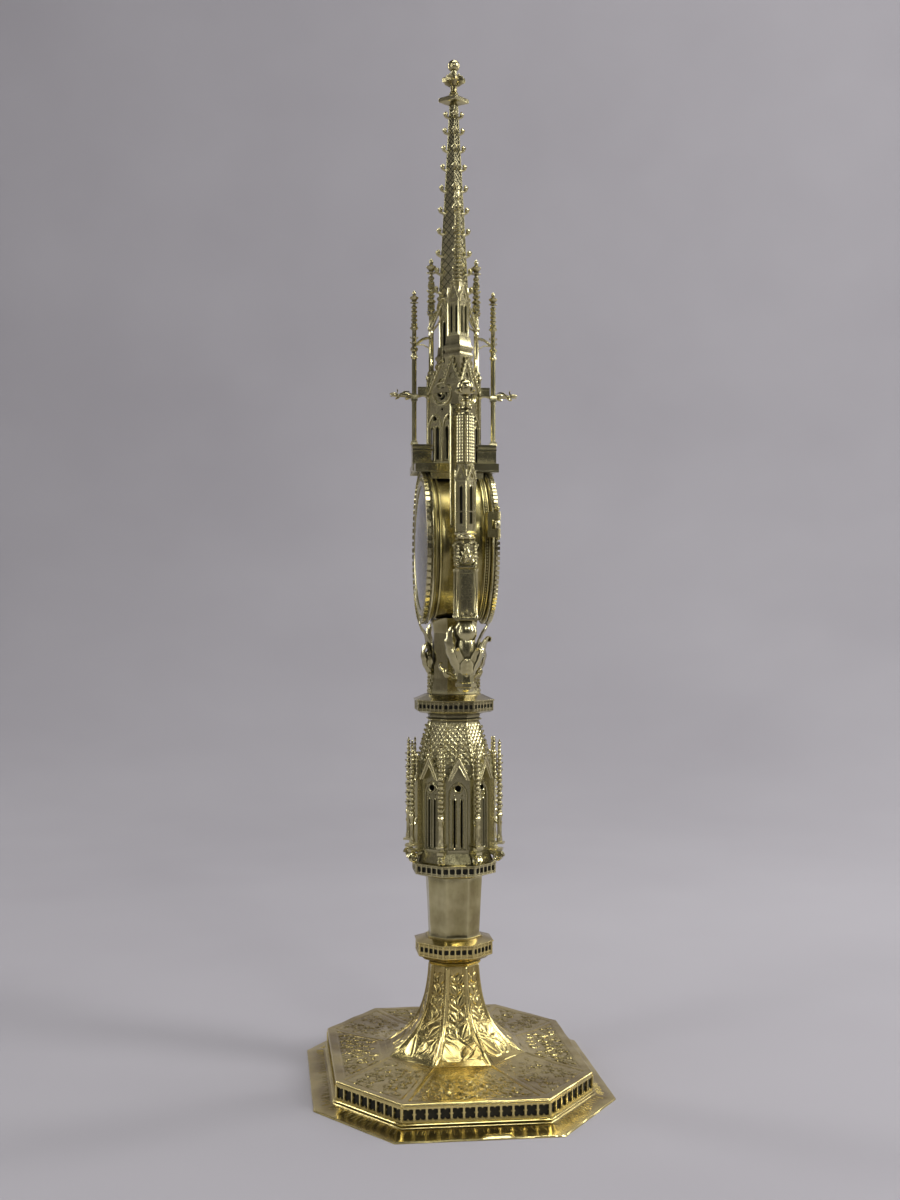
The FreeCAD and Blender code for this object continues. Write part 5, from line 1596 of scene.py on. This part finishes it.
def make_stem_crockets():
    base = base_and_top("leaf_crockets")[0]
    form = Form()
    out = 12.8
    post = column([(4.0, base), (4.6, base + 0.8), (4.6, base + 1.8), (3.6, base + 2.6), (3.8, base + 10.0),
                   (4.4, base + 11.0), (3.0, base + 12.0)], 8, TURN, (0, 0))
    for row in range(4):
        for number in range(8):
            turn = math.tau * (number + 0.5 * (row % 2)) / 8
            post.join(ball((3.7 * math.cos(turn), 3.7 * math.sin(turn), base + 3.6 + row * 1.8), 0.75, 4,
                           6))
    fist = leaf([(0.0, base + 10, 2.4), (3.6, base + 12.5, 4.6), (7.0, base + 17.0, 5.6),
                 (8.4, base + 22.5, 5.2),
                 (6.6, base + 27.5, 4.4), (3.2, base + 28.6, 3.4), (2.4, base + 25.6, 2.4),
                 (4.4, base + 23.4, 1.4)],
                1.3, 0.4, 4, 0.3)
    back = leaf([(-1.0, base + 10, 2.0), (0.6, base + 16.0, 4.4), (1.6, base + 24.0, 5.2),
                 (4.6, base + 32.0, 4.8),
                 (9.0, base + 37.6, 3.2), (10.4, base + 40.6, 2.2), (8.6, base + 42.0, 1.2)], 0.9, 0.3, 4,
                 0.3)
    for side in (-1, 1):
        lobe = leaf([(0.0, base + 11, 1.6), (4.0, base + 13.5, 2.8), (6.6, base + 18.5, 3.2),
                     (6.8, base + 23.0, 2.6),
                     (4.6, base + 24.6, 1.4)], 1.0, 0.3, 3, 0.3)
        post.join(lobe, facet(math.radians(90 + side * 55), 0))
    post.join(fist)
    post.join(back)
    post.join(ball((0, 5.0, base + 20.0), 3.4, 8, 12, 1.2))
    for turn in (0, 1):
        close = Matrix.Translation((0, out, 0)) @ Matrix.Diagonal((1, 0.72, 1, 1))
        form.join(Form().join(post, close), Matrix.Rotation(math.pi * turn, 4, "Z"))
    piece("stem_leaf_crockets", form, "stand", (LEAF_GOLD,), ("leaf_crockets",), 0.0,
          ORNAMENT_CREASE)


make_brackets()
make_niches()
make_canopies()
make_shafts()
make_knobs()
make_stem_crockets()

# ---------------------------------------------------------------- lower tower

TOWER_LOW, TOWER_HIGH = base_and_top("tower_walls")
TOWER_REACH = half_width("tower_walls")
TOWER_FACE = TOWER_REACH / math.sqrt(2)


def on_diagonals(form, distance, level=0.0):
    """One copy of a form on each diagonal face of a tower stage."""
    ring_form = Form()
    for number in range(4):
        ring_form.join(form, facet(QUARTER + part_turn(number, 4), distance, level))
    return ring_form


def tower_face():
    """Window wall: four lancets in two pointed arches under a traceried wheel."""
    half = TOWER_FACE
    sill = TOWER_LOW + 3.0
    centre = TOWER_LOW + 41.6
    lights = [lancet(x, sill, TOWER_LOW + 20.5, 1.42) for x in (-7.35, -3.45, 3.45, 7.35)]
    eyes = [foil(x, TOWER_LOW + 27.2, 1.5, 4, 0.3, QUARTER, 20) for x in (-5.4, 5.4)]
    daggers = [mouchette(0, centre, 5.3, math.tau * step / 4 + 0.35) for step in range(4)]
    corners = [foil(0.0, centre - 9.2, 0.9, 3, 0.3, 0, 12)]
    outer = [(-half, TOWER_LOW), (half, TOWER_LOW), (half, TOWER_HIGH - 8), (half * 0.8, TOWER_HIGH - 2),
             (-half * 0.8, TOWER_HIGH - 2), (-half, TOWER_HIGH - 8)]
    wall = plate(outer, lights + eyes + daggers + corners, -1.3, 0.0)
    for outline in lights:
        wall.join(framed_opening(outline, 0.26, 0.12))
    for x in (-5.4, 5.4):
        wall.join(framed_opening(lancet(x, sill - 0.8, TOWER_LOW + 22.5, 4.4, 1.75), 0.55, 0.35))
        wall.join(framed_opening(circle(x, TOWER_LOW + 27.2, 2.0, 16), 0.25, 0.15))
    wall.join(framed_opening(circle(0, centre, 6.5, 28), 0.75, 0.45))
    wall.join(framed_opening(circle(0, centre, 5.5, 24), 0.25, 0.2))
    wall.join(ball((0, 0.3, centre), 0.9, 5, 8))
    wall.join(box((-half, -0.4, TOWER_LOW), (half, 1.0, TOWER_LOW + 1.6)))
    for x in (-9.9, -5.4, 0.0, 5.4, 9.9):
        wall.join(round_column([(0.45, TOWER_LOW + 1.4), (0.45, TOWER_LOW + 21.0), (0.75, TOWER_LOW + 21.8),
                                (0.4, TOWER_LOW + 22.6)], 8, (x, 0.35)))
    return wall


def make_tower_walls():
    form = on_diagonals(tower_face(), TOWER_FACE - 0.2)
    corner = round_column([(2.0, TOWER_LOW), (2.0, TOWER_LOW + 1.8), (1.2, TOWER_LOW + 2.8),
                           (1.2, TOWER_HIGH - 14),
                           (1.7, TOWER_HIGH - 13), (1.1, TOWER_HIGH - 12), (1.1, TOWER_HIGH - 3),
                           (1.6, TOWER_HIGH - 2),
                           (1.6, TOWER_HIGH - 1), (1.1, TOWER_HIGH)], 10, (TOWER_REACH - 0.7, 0))
    form.around(corner, 4)
    form.join(column([(TOWER_REACH - 2, TOWER_HIGH - 3), (TOWER_REACH, TOWER_HIGH - 2),
                      (TOWER_REACH - 0.2, TOWER_HIGH)],
                     4, 0))
    # A near-black core behind the windows: painted shade for the hollow inside.
    form.join(column([(TOWER_REACH - 4.5, TOWER_LOW), (TOWER_REACH - 4.5, TOWER_HIGH - 1.0)], 4, 0,
                     material=1))
    piece("tower_window_walls", form, "stand", (LEAF_GOLD, SHADE_BLACK), ("tower_walls",), 0.0,
          PLAIN_CREASE)


def make_tower_gables():
    low, high = base_and_top("tower_gables")
    tip = high
    form = on_diagonals(gablet(9.0, low + 1.0, tip - 2.2, 1.6, 0.95, 6, 1.35, True, False),
                        TOWER_FACE + 0.1)
    form.join(on_diagonals(Form().join(flower(1.35), Matrix.Translation((0, 0.8, tip - 2.6))),
                           TOWER_FACE + 0.1))
    piece("tower_crocketed_gables", form, "stand", (LEAF_GOLD,), ("tower_gables",), 0.0,
          ORNAMENT_CREASE)


def make_saddle():
    finish_node("tower_saddle", LEAF_GOLD, 0.25)
    high = span("tower_saddle")[1]
    form = Form()
    for level, proud, radius in ((high.z - 0.7, -0.3, 0.35), (high.z - 4.2, -0.2, 0.3)):
        x, y = high.x + proud, high.y + proud
        form.join(tube([(x, -y, level), (x, y, level), (-x, y, level), (-x, -y, level)], radius, 8,
                       closed=True))
    piece("saddle_mouldings", form, "stand", (LEAF_GOLD,), (), 0.0, ORNAMENT_CREASE)


def make_posts():
    low, high = span("outer_post_rear")
    y = high.y - 1.4
    base = low.z
    top = high.z
    form = box((-4.0, 13.6, base - 3.2), (4.0, high.y - 0.1, base + 8.6))
    for level, rise, proud in ((base + 8.4, 1.1, 0.35), (base + 9.5, 1.4, -0.5), (base + 10.9, 1.2, 0.2)):
        form.join(box((-4.2 - proud, 13.4 - proud, level), (4.2 + proud, high.y, level + rise)))
    form.join(column([(3.2, base + 12.0), (2.9, base + 13.0), (2.2, base + 14.4)], 4, QUARTER, (0, y)))
    form.join(column([(1.75, base + 11), (1.45, base + 12.5), (1.45, base + 62.5), (2.1, base + 63.2),
                      (2.1, base + 64.4),
                      (1.5, base + 65.2), (1.5, base + 67.0), (2.3, base + 67.8), (2.3, base + 69.0),
                      (1.4, base + 69.8),
                      (1.3, base + 79.4), (2.0, base + 80.6), (2.0, base + 81.8), (1.0, base + 82.6)], 8,
                      TURN, (0, y)))
    form.join(beaded_shaft(1.95, base + 82.0, top - 8.5, 2.3, (0, y), 0.9))
    form.join(ringed_tip(2.4, top - 9.0, top, (0, y)))
    for level in (base + 72.0, base + 75.0, base + 80.5):
        for number in range(4):
            form.join(crocket(0.9), Matrix.Translation((0, y, 0)) @ facet(part_turn(number, 4), 1.2,
                level))
    form.join(column([(2.6, base + 38.0), (2.6, base + 41.0), (2.0, base + 42.0)], 4, QUARTER, (0, y)))
    piece("outer_post_rear_shaft", form, "stand", (LEAF_GOLD,), ("outer_post_rear",), 0.0,
          ORNAMENT_CREASE)
    piece("outer_post_front_shaft", Form().join(form, HALF_TURN), "stand", (LEAF_GOLD,),
          ("outer_post_front",), 0.0, ORNAMENT_CREASE)


def gargoyle():
    """Crouching beast that leans out along +Y from the origin, mouth open, ears back."""
    length = 14.2
    spine = smooth_path([(0, 0, -0.3), (0, 3.0, 0.6), (0, 6.2, 0.9), (0, 9.0, 0.4), (0, 11.2, 0.9),
                         (0, 12.4, 1.2)], 5)
    sizes = smooth_path([(1.3,), (1.75,), (1.6,), (1.0,), (1.3,), (1.1,)], 5)
    form = tube(spine, [float(size[0]) for size in sizes], 10)
    form.join(tube([(0, 12.0, 1.3), (0, 13.4, 1.35), (0, length, 1.1)], [1.0, 0.7, 0.4], 8))
    form.join(tube([(0, 11.8, 0.4), (0, 13.0, 0.0), (0, 13.8, -0.2)], [0.6, 0.45, 0.25], 6))
    for side in (-1, 1):
        form.join(leaf([(0, 0, 0.4), (0.9, 1.0, 0.7), (1.0, 2.0, 0.4), (0.6, 2.7, 0.15)], 0.35, 0.2, 1,
                       0.0),
                  Matrix.Translation((side * 0.7, 10.6, 1.4)) @ Matrix.Rotation(math.pi, 4, "Z"))
        form.join(ball((side * 0.75, 12.3, 1.75), 0.32, 4, 6))
        form.join(tube([(side * 1.2, 8.4, 0.0), (side * 1.9, 9.4, -1.0), (side * 1.6, 10.8, -1.5)],
                       [0.65, 0.5, 0.35], 6))
        form.join(tube([(side * 1.2, 2.0, -0.2), (side * 2.1, 3.4, -1.2), (side * 1.6, 5.0, -1.6)],
                       [0.9, 0.7, 0.4], 6))
        wing = leaf([(0, 0, 0.6), (2.0, 1.4, 1.5), (4.4, 2.2, 1.3), (6.0, 2.0, 0.4)], 0.3, 0.15, 3, 0.3)
        form.join(wing, Matrix.Translation((side * 1.1, 8.2, 0.8)) @ Matrix.Rotation(math.pi - side * 0.35,
            4, "Z"))
    return form


def make_gargoyles():
    low, high = span("gargoyles")
    level = (low.z + high.z) / 2
    start = high.y - 14.2
    form = Form()
    beast = Form().join(gargoyle(), Matrix.Translation((0, start, level - 0.4)))
    form.join(beast).join(beast, HALF_TURN)
    piece("gargoyle_beasts", form, "stand", (LEAF_GOLD,), ("gargoyles",), 0.0, 45)


def make_links():
    low, high = span("tower_links")
    level = (low.z + high.z) / 2
    start = TOWER_REACH - 0.5
    bar = tube([(0, start, level - 0.4), (0, (start + high.y) / 2, level + 0.5),
                (0, high.y + 0.4, level - 0.2)],
               [1.1, 0.8, 1.1], 8)
    bar.join(ball((0, (start + high.y) / 2, level + 1.5), 0.8, 5, 8))
    bar.join(box((-1.5, start - 0.5, level + 0.2), (1.5, high.y, level + 4.6)))
    bar.join(box((-1.8, start - 0.5, level + 4.2), (1.8, high.y, level + 5.2)))
    form = Form().join(bar).join(bar, HALF_TURN)
    piece("tower_link_bars", form, "stand", (LEAF_GOLD,), ("tower_links",), 0.0,
          ORNAMENT_CREASE)


make_tower_walls()
make_tower_gables()
make_saddle()
make_posts()
make_gargoyles()
make_links()

# ---------------------------------------------------------------- upper tower and spire

SPIRE_LOW, SPIRE_HIGH = base_and_top("spire")
SPIRE_REACH = half_width("spire")
LANTERN_LOW, LANTERN_HIGH = base_and_top("lantern")


def make_lantern():
    reach = half_width("lantern")
    inner = reach * 0.84
    face = inner / math.sqrt(2)
    lights = [lancet(x, LANTERN_LOW + 7, LANTERN_HIGH - 14, 1.35) for x in (-2.5, 2.5)]
    wall = plate([(-face, LANTERN_LOW), (face, LANTERN_LOW), (face, LANTERN_HIGH), (-face, LANTERN_HIGH)],
                 lights, -1.1, 0)
    for outline in lights:
        wall.join(framed_opening(outline, 0.3, 0.1))
    wall.join(box((-face, -0.3, LANTERN_LOW + 4.2), (face, 0.7, LANTERN_LOW + 5.2)))
    form = on_diagonals(wall, face)
    # A near-black core behind the lancets: painted shade for the hollow inside.
    form.join(column([(inner - 2.0, LANTERN_LOW), (inner - 2.0, LANTERN_HIGH)], 4, 0, material=1))
    form.join(column([(reach, LANTERN_LOW), (reach, LANTERN_LOW + 2.4), (inner, LANTERN_LOW + 4.0)], 4, 0))
    form.join(column([(inner, LANTERN_HIGH - 2.4), (reach, LANTERN_HIGH - 1.4), (reach, LANTERN_HIGH - 0.4),
                      (inner, LANTERN_HIGH)],
                     4, 0))
    reach_out = 14.0
    canopy_face = reach_out / math.sqrt(2)
    half = canopy_face - 1.2
    foot, apex = LANTERN_LOW + 26.0, LANTERN_LOW + 41.5
    gable = gablet(half, foot, apex, 1.2, 1.15, 5, 1.4, False, True, False)
    gable.join(tube([(-half, 0.5, foot), (-half * 0.45, 0.5, foot + 3.4), (0, 0.5, foot + 8.5),
                     (half * 0.45, 0.5, foot + 3.4),
                     (half, 0.5, foot)], 0.5, 6))
    gable.join(tube([(0, 0.5, foot + 8.2), (0, 0.5, apex)], 0.4, 6))
    for side in (-1, 1):
        gable.join(round_column([(0.2, foot - 6.0), (1.2, foot - 4.8), (0.6, foot - 3.6), (1.4, foot - 1.8),
                                 (1.0, foot)],
                                8, (side * half, 0.5)))
    form.join(on_diagonals(gable, canopy_face))
    piece("lantern_windows", form, "stand", (LEAF_GOLD, SHADE_BLACK), ("lantern",), 0.0,
          ORNAMENT_CREASE)


def make_inner_pinnacles():
    low, high = span("inner_pinnacles")
    y = (high.y + low.y) / 2 + (high.y - low.y) / 2 - 2.2
    top = high.z
    shaft = column([(2.4, low.z), (2.4, low.z + 1.6), (1.6, low.z + 2.8), (1.5, low.z + 26),
                    (2.2, low.z + 27),
                    (2.2, low.z + 28.4), (1.5, low.z + 29.4), (1.4, low.z + 36)], 8, TURN, (0, y))
    shaft.join(beaded_shaft(2.35, low.z + 35, top - 10, 2.5, (0, y), 0.78))
    shaft.join(ringed_tip(2.7, top - 10.5, top, (0, y)))
    for row in range(6):
        for number in range(4):
            place = Matrix.Translation((0, y, 0)) @ facet(part_turn(number, 4) + QUARTER * (row % 2), 1.4,
                                                          low.z + 37 + row * 3.2)
            shaft.join(crocket(0.95), place)
    form = Form().join(shaft).join(shaft, HALF_TURN)
    piece("inner_beaded_pinnacles", form, "stand", (LEAF_GOLD,), ("inner_pinnacles",), 0.0,
          ORNAMENT_CREASE)


def make_flyers():
    low, high = span("flyers")
    inner, outer = 13.4, 22.8
    form = Form()
    for turn in (0, 1):
        arch = smooth_path([(0, inner, high.z + 1.6), (0, (inner + outer) / 2, high.z + 0.6),
                            (0, outer, low.z)], 6)
        bar = tube(arch, 0.8, 8)
        bar.join(tube([(0, inner, low.z - 2.5), (0, (inner + outer) / 2, low.z + 0.2), (0, outer, low.z)],
                      0.45, 6))
        for share in (0.3, 0.6):
            y = inner + (outer - inner) * share
            bar.join(crocket(0.9), Matrix.Translation((0, y,
                high.z + 1.2 - 3 * share)) @ Matrix.Rotation(QUARTER, 4, "X"))
        form.join(bar, HALF_TURN if turn else None)
    piece("flying_buttresses", form, "stand", (LEAF_GOLD,), ("flyers",), 0.0,
          ORNAMENT_CREASE)


def make_turrets():
    low, high = span("side_turret_right")
    x = frame_point("spirelet_right")[0]
    reach = high.x - x
    body = reach / 1.12
    face = body / math.sqrt(2)
    base = low.z + 47.0
    form = column([(3.6, low.z), (4.6, low.z + 1.0), (4.6, low.z + 3.0), (3.8, low.z + 4.4),
                   (3.8, base - 4.0), (5.2, base - 1.0),
                   (body, base)], 4, 0)
    form.join(column([(body, base), (body, base + 13.0), (reach, base + 14.0), (reach, base + 15.2),
                      (body, base + 16.2),
                      (body, base + 17.4), (reach, base + 18.6), (reach, base + 19.8),
                      (body * 0.96, base + 21.0),
                      (body * 0.9, high.z)], 4, 0))
    wall = Form()
    wall.join(gablet(face * 0.95, base - 1.0, base + 11.6, 1.2, 0.7, 5, 1.15, True, True))
    wall.join(box((-face, -0.2, base - 2.0), (face, 0.6, base - 0.9)))
    form.join(on_diagonals(wall, face))
    placed = Form().join(form, Matrix.Translation((x, 0, 0)))
    pair("side_turret_block", placed, "side_turret", None, 0.1)
    return x


def make_spirelets(x):
    base, top = base_and_top("spirelet_right")
    reach = 5.5
    face = reach / math.sqrt(2)
    eaves = base + 23.0
    lights = [lancet(across, base + 2.0, eaves - 6.5, 0.95) for across in (-1.75, 1.75)]
    wall = plate([(-face, base), (face, base), (face, eaves), (-face, eaves)], lights, -0.9, 0)
    for outline in lights:
        wall.join(framed_opening(outline, 0.28, 0.1))
    wall.join(gablet(face + 0.5, eaves - 3.4, eaves + 7.6, 1.1, 0.55, 4, 0.95, True, True))
    form = on_diagonals(wall, face)
    # A near-black core behind the lancets: painted shade for the hollow inside.
    form.join(column([(reach - 1.5, base), (reach - 1.5, eaves)], 4, 0, material=1))
    form.join(column([(reach, eaves - 1.0), (reach * 1.05, eaves), (reach * 0.7, eaves + 4.0),
                      (reach * 0.5, eaves + 10)], 4, 0))
    form.around(round_column([(0.8, base), (0.8, eaves + 1), (1.1, eaves + 1.6), (0.5, eaves + 5)], 8,
                             (reach, 0)), 4)
    form.join(beaded_shaft(2.6, eaves + 8.0, top - 15.0, 2.2, (0, 0), 0.6))
    for row in range(9):
        level = eaves + 8.5 + row * 2.9
        for number in range(4):
            form.join(crocket(1.15 - row * 0.04), facet(part_turn(number, 4), 2.1 - row * 0.1, level))
    neck = top - 15.5
    form.join(round_column([(1.2, neck), (1.6, neck + 0.8), (0.9, neck + 1.6), (0.9, neck + 3.4),
                            (1.8, neck + 4.2), (1.8, neck + 5.0),
                            (0.8, neck + 5.8), (0.8, neck + 12.0), (0.2, top)], 12))
    for level, size in ((neck + 3.0, 2.1), (neck + 8.2, 1.9)):
        for number in range(4):
            form.join(crocket(size), facet(part_turn(number, 4), 0.2, level))
    form.join(ball((0, 0, top - 1.6), 1.2, 6, 10))
    pair("spirelet_tracery", Form().join(form, Matrix.Translation((x, 0, 0))), "spirelet")


def make_spire():
    low_z, high_z = SPIRE_LOW, SPIRE_HIGH
    low_reach, high_reach = SPIRE_REACH, 2.3
    form = column([(low_reach - 0.25, low_z), (high_reach - 0.15, high_z)], 4, 0)
    root = math.sqrt(2)
    levels = [low_z]
    while levels[-1] < high_z:
        share = (levels[-1] - low_z) / (high_z - low_z)
        levels.append(levels[-1] + (low_reach + (high_reach - low_reach) * share) / root * 0.8 + 0.7)
    levels[-1] = high_z

    def on_face(across, level):
        face = (low_reach + (high_reach - low_reach) * (level - low_z) / (high_z - low_z)) / root
        return (across * face, face - 0.1, level)

    # The net's tubes take the near-black material: painted shade standing for the dark grooves between the
    # lozenges.
    net = Form()
    for number in range(len(levels) - 2):
        for side in (-1, 1):
            net.join(tube([on_face(-side, levels[number]), on_face(side, levels[number + 2])], 0.22, 4, 1))
    form.join(on_diagonals(net, 0))
    for number in range(4):
        angle = part_turn(number, 4)
        along = Vector((math.cos(angle), math.sin(angle), 0))
        form.join(tube([along * low_reach + UP * low_z, along * high_reach + UP * high_z], [0.42, 0.3], 6))
    for level in (463.0, 474.0, 484.6, 497.6, 510.0, 523.0, 535.5, 546.5, 557.0, 566.5):
        share = (level - low_z) / (high_z - low_z)
        reach = low_reach + (high_reach - low_reach) * share
        for number in range(4):
            form.join(crocket(2.9 - 0.3 * share), facet(part_turn(number, 4), reach - 0.2, level))
            form.join(ball((0, 0, 0), 1.35 - 0.2 * share, 6, 8),
                      facet(part_turn(number, 4), reach + 2.0, level + 1.6))
    form.join(column([(low_reach * 1.08, low_z), (low_reach * 1.16, low_z + 1.0),
                      (low_reach * 1.16, low_z + 2.0),
                      (low_reach * 0.96, low_z + 3.2)], 4, 0))
    piece("spire_net_and_crockets", form, "stand", (LEAF_GOLD, SHADE_BLACK), ("spire",), 0.0,
          ORNAMENT_CREASE)


def make_finial():
    low, high = base_and_top("finial_plate")
    reach = half_width("finial_plate")
    form = column([(3.0, low), (4.6, low + 0.6), (8.0, low + 1.3), (reach, low + 1.7), (reach, low + 3.7),
                   (8.2, low + 4.3), (5.0, low + 5.2), (3.4, high)], 4, 0)
    piece("finial_plate_moulded", form, "stand", (PLAIN_GOLD,), ("finial_plate",), 0.15,
          PLAIN_CREASE)
    low, high = base_and_top("finial_crown")
    reach = half_width("finial_crown")
    form = round_column([(2.4, low), (2.9, low + 0.8), (2.0, low + 2.0), (2.0, low + 5.0), (3.2, low + 7.4),
                         (5.2, low + 8.6),
                         (4.6, low + 9.4), (2.6, low + 10.6), (2.0, low + 12.0), (1.8, high)], 16)
    star = []
    for step in range(16):
        angle = math.tau * step / 16
        size = reach if step % 2 == 0 else reach * 0.68
        star.append((size * math.cos(angle), size * math.sin(angle)))
    rim = [[(x * scale, y * scale, level) for x, y in star]
           for scale, level in ((0.45, low + 5.4), (0.7, low + 6.6), (0.98, low + 7.7), (1.0, low + 9.4),
                                (0.94, low + 10.4),
                                (0.45, low + 11.2))]
    form.join(loft(rim))
    for number in range(8):
        form.join(crocket(1.4), facet(part_turn(number, 8), 2.6, low + 10.8))
    piece("finial_star_crown", form, "stand", (LEAF_GOLD,), ("finial_crown",), 0.08,
          PLAIN_CREASE)
    low, high = base_and_top("finial_ball")
    radius = half_width("finial_ball")
    centre = high - radius
    rows = [(radius * math.cos(math.radians(a)) + 0.02,
             centre + radius * math.sin(math.radians(a))) for a in range(-80, 91, 10)]
    form = round_column(rows, 24)
    form.join(tube([(radius * 0.98 * math.cos(a), radius * 0.98 * math.sin(a), centre - 0.2)
                    for a in np.linspace(0, math.tau, 25)[:-1]], 0.16, 6, closed=True))
    piece("finial_ball_seamed", form, "stand", (PLAIN_GOLD,), ("finial_ball",), 0.0,
          ORNAMENT_CREASE)


make_lantern()
make_inner_pinnacles()
make_flyers()
make_spirelets(make_turrets())
make_spire()
make_finial()

# ---------------------------------------------------------------- camera, light and floor

EYE_DISTANCE = 0.911
EYE_HEIGHT = 0.2806
EYE_AZIMUTH = math.radians(83.0)
EYE_SHIFT = -0.0022
SENSOR = 36.0
LENS = 46.2


# The paper is a surface of revolution: flat, then bent upwards, then a wall. Metres.
PAPER_FLAT, PAPER_BEND, PAPER_WALL, PAPER_TOP = 0.9, 1.5, 2.4, 2.4
PAPER_STEPS = 16
CARD_HALF_WIDTH, CARD_HALF_HEIGHT, CARD_DISTANCE, CARD_LEVEL = 0.45, 0.6, 1.4, 0.66
# Name, power, size, place along the picture's right, towards the camera, height.
LAMPS = (
    ("key_right", 13, (0.35, 0.8), 1.25, 0.55, 1.05),
    ("strip_left", 3.2, (0.14, 1.2), -0.95, 0.75, 0.7),
    ("rim_left", 5, (0.25, 1.0), -1.1, -0.7, 0.9),
    ("rim_right", 5, (0.2, 1.0), 1.1, -0.6, 0.8),
    ("top", 5, (0.7, 0.7), 0.2, 0.1, 1.9),
    ("front_small", 2.2, (0.09, 0.09), 0.5, 1.1, 1.0),
    ("front_left", 0.5, (0.05, 0.4), -0.6, 1.1, 0.6),
)


def make_stage():
    camera_data = bpy.data.cameras.new("view")
    camera_data.lens = LENS
    camera_data.sensor_width = SENSOR
    camera_data.clip_start = 0.01
    camera = bpy.data.objects.new("view", camera_data)
    bpy.context.scene.collection.objects.link(camera)
    right = Vector((math.cos(EYE_AZIMUTH), math.sin(EYE_AZIMUTH), 0))
    back = Vector((math.sin(EYE_AZIMUTH), -math.cos(EYE_AZIMUTH), 0))
    camera.location = back * EYE_DISTANCE + right * EYE_SHIFT + UP * EYE_HEIGHT
    camera.rotation_euler = (math.radians(90), 0, EYE_AZIMUTH)
    bpy.context.scene.camera = camera

    material, tree, shader = node_material("studio_paper")
    clouds = noise_node(tree, mapped(tree, (1, 1, 1)), 2.0, 3.0)
    tree.links.new(ramp(tree, clouds, ((0.3, (0.35, 0.335, 0.355)), (0.7, (0.385, 0.37, 0.39)))),
                   shader.inputs["Base Color"])
    shader.inputs["Roughness"].default_value = 0.9
    shader.inputs["Specular IOR Level"].default_value = 0.1
    sweep = [(0.001, 0.0), (0.3, 0.0), (0.6, 0.0), (PAPER_FLAT, 0.0)]
    for step in range(1, PAPER_STEPS + 1):
        angle = math.radians(90) * step / PAPER_STEPS
        sweep.append((PAPER_FLAT + PAPER_BEND * math.sin(angle), PAPER_BEND - PAPER_BEND * math.cos(angle)))
    sweep += [(PAPER_WALL, 1.9), (PAPER_WALL, PAPER_TOP)]
    paper = loft([ring(radius, level, 96) for radius, level in sweep], False)
    floor = bpy.data.meshes.new("floor")
    floor.from_pydata([tuple(point) for point in paper.points], [], paper.faces)
    floor.polygons.foreach_set("use_smooth", [True] * len(floor.polygons))
    floor.materials.append(material)
    floor_object = bpy.data.objects.new("floor", floor)
    bpy.context.scene.collection.objects.link(floor_object)

    world = bpy.data.worlds.new("studio")
    world.use_nodes = True
    world.node_tree.nodes["Background"].inputs["Color"].default_value = (0.6, 0.6, 0.65, 1)
    world.node_tree.nodes["Background"].inputs["Strength"].default_value = 0.1
    bpy.context.scene.world = world
    bpy.context.scene.view_settings.view_transform = "Standard"

    def lamp(name, power, size, along_right, along_back, height, aim=(0, 0, 0.3), colour=(1, 1, 1)):
        data = bpy.data.lights.new(name, "AREA")
        data.shape = "RECTANGLE"
        data.size, data.size_y = size
        data.energy = power
        data.color = colour
        light = bpy.data.objects.new(name, data)
        light.location = right * along_right + back * along_back + UP * height
        facing = Vector(aim) - light.location
        light.rotation_euler = facing.to_track_quat("-Z", "Y").to_euler()
        light.visible_camera = False
        bpy.context.scene.collection.objects.link(light)

    for row in LAMPS:
        lamp(*row)
    lamp("wall_wash", 36, (1.6, 0.5), 0.7, -0.5, 2.2,
         (right.x * 1.2 - back.x * PAPER_WALL, right.y * 1.2 - back.y * PAPER_WALL, 0.75))
    lamp("wall_wash_near", 12, (1.6, 0.5), 0, 0.4, 2.2, (back.x * PAPER_WALL, back.y * PAPER_WALL, 0.7))

    card, tree, shader = node_material("black_card")
    weave = noise_node(tree, mapped(tree, (1, 1, 1)), 60.0, 2.0)
    tree.links.new(ramp(tree, weave, ((0.3, (0.02, 0.02, 0.021)), (0.7, (0.035, 0.035, 0.036)))),
                   shader.inputs["Base Color"])
    shader.inputs["Roughness"].default_value = 0.95
    for name, turn in (("flag_near", 0.12), ("flag_left", -0.95)):
        flag = bpy.data.meshes.new(name)
        wide, tall = CARD_HALF_WIDTH, CARD_HALF_HEIGHT
        flag.from_pydata([(-wide, 0, -tall), (wide, 0, -tall), (wide, 0, tall), (-wide, 0, tall)], [],
                         [(0, 1, 2, 3)])
        flag.materials.append(card)
        flag_object = bpy.data.objects.new(name, flag)
        flag_object.location = (Matrix.Rotation(turn, 4, "Z") @ back) * CARD_DISTANCE + UP * CARD_LEVEL
        flag_object.rotation_euler = (0, 0, EYE_AZIMUTH + turn)
        flag_object.visible_camera = flag_object.visible_shadow = flag_object.visible_diffuse = False
        bpy.context.scene.collection.objects.link(flag_object)


make_stage()
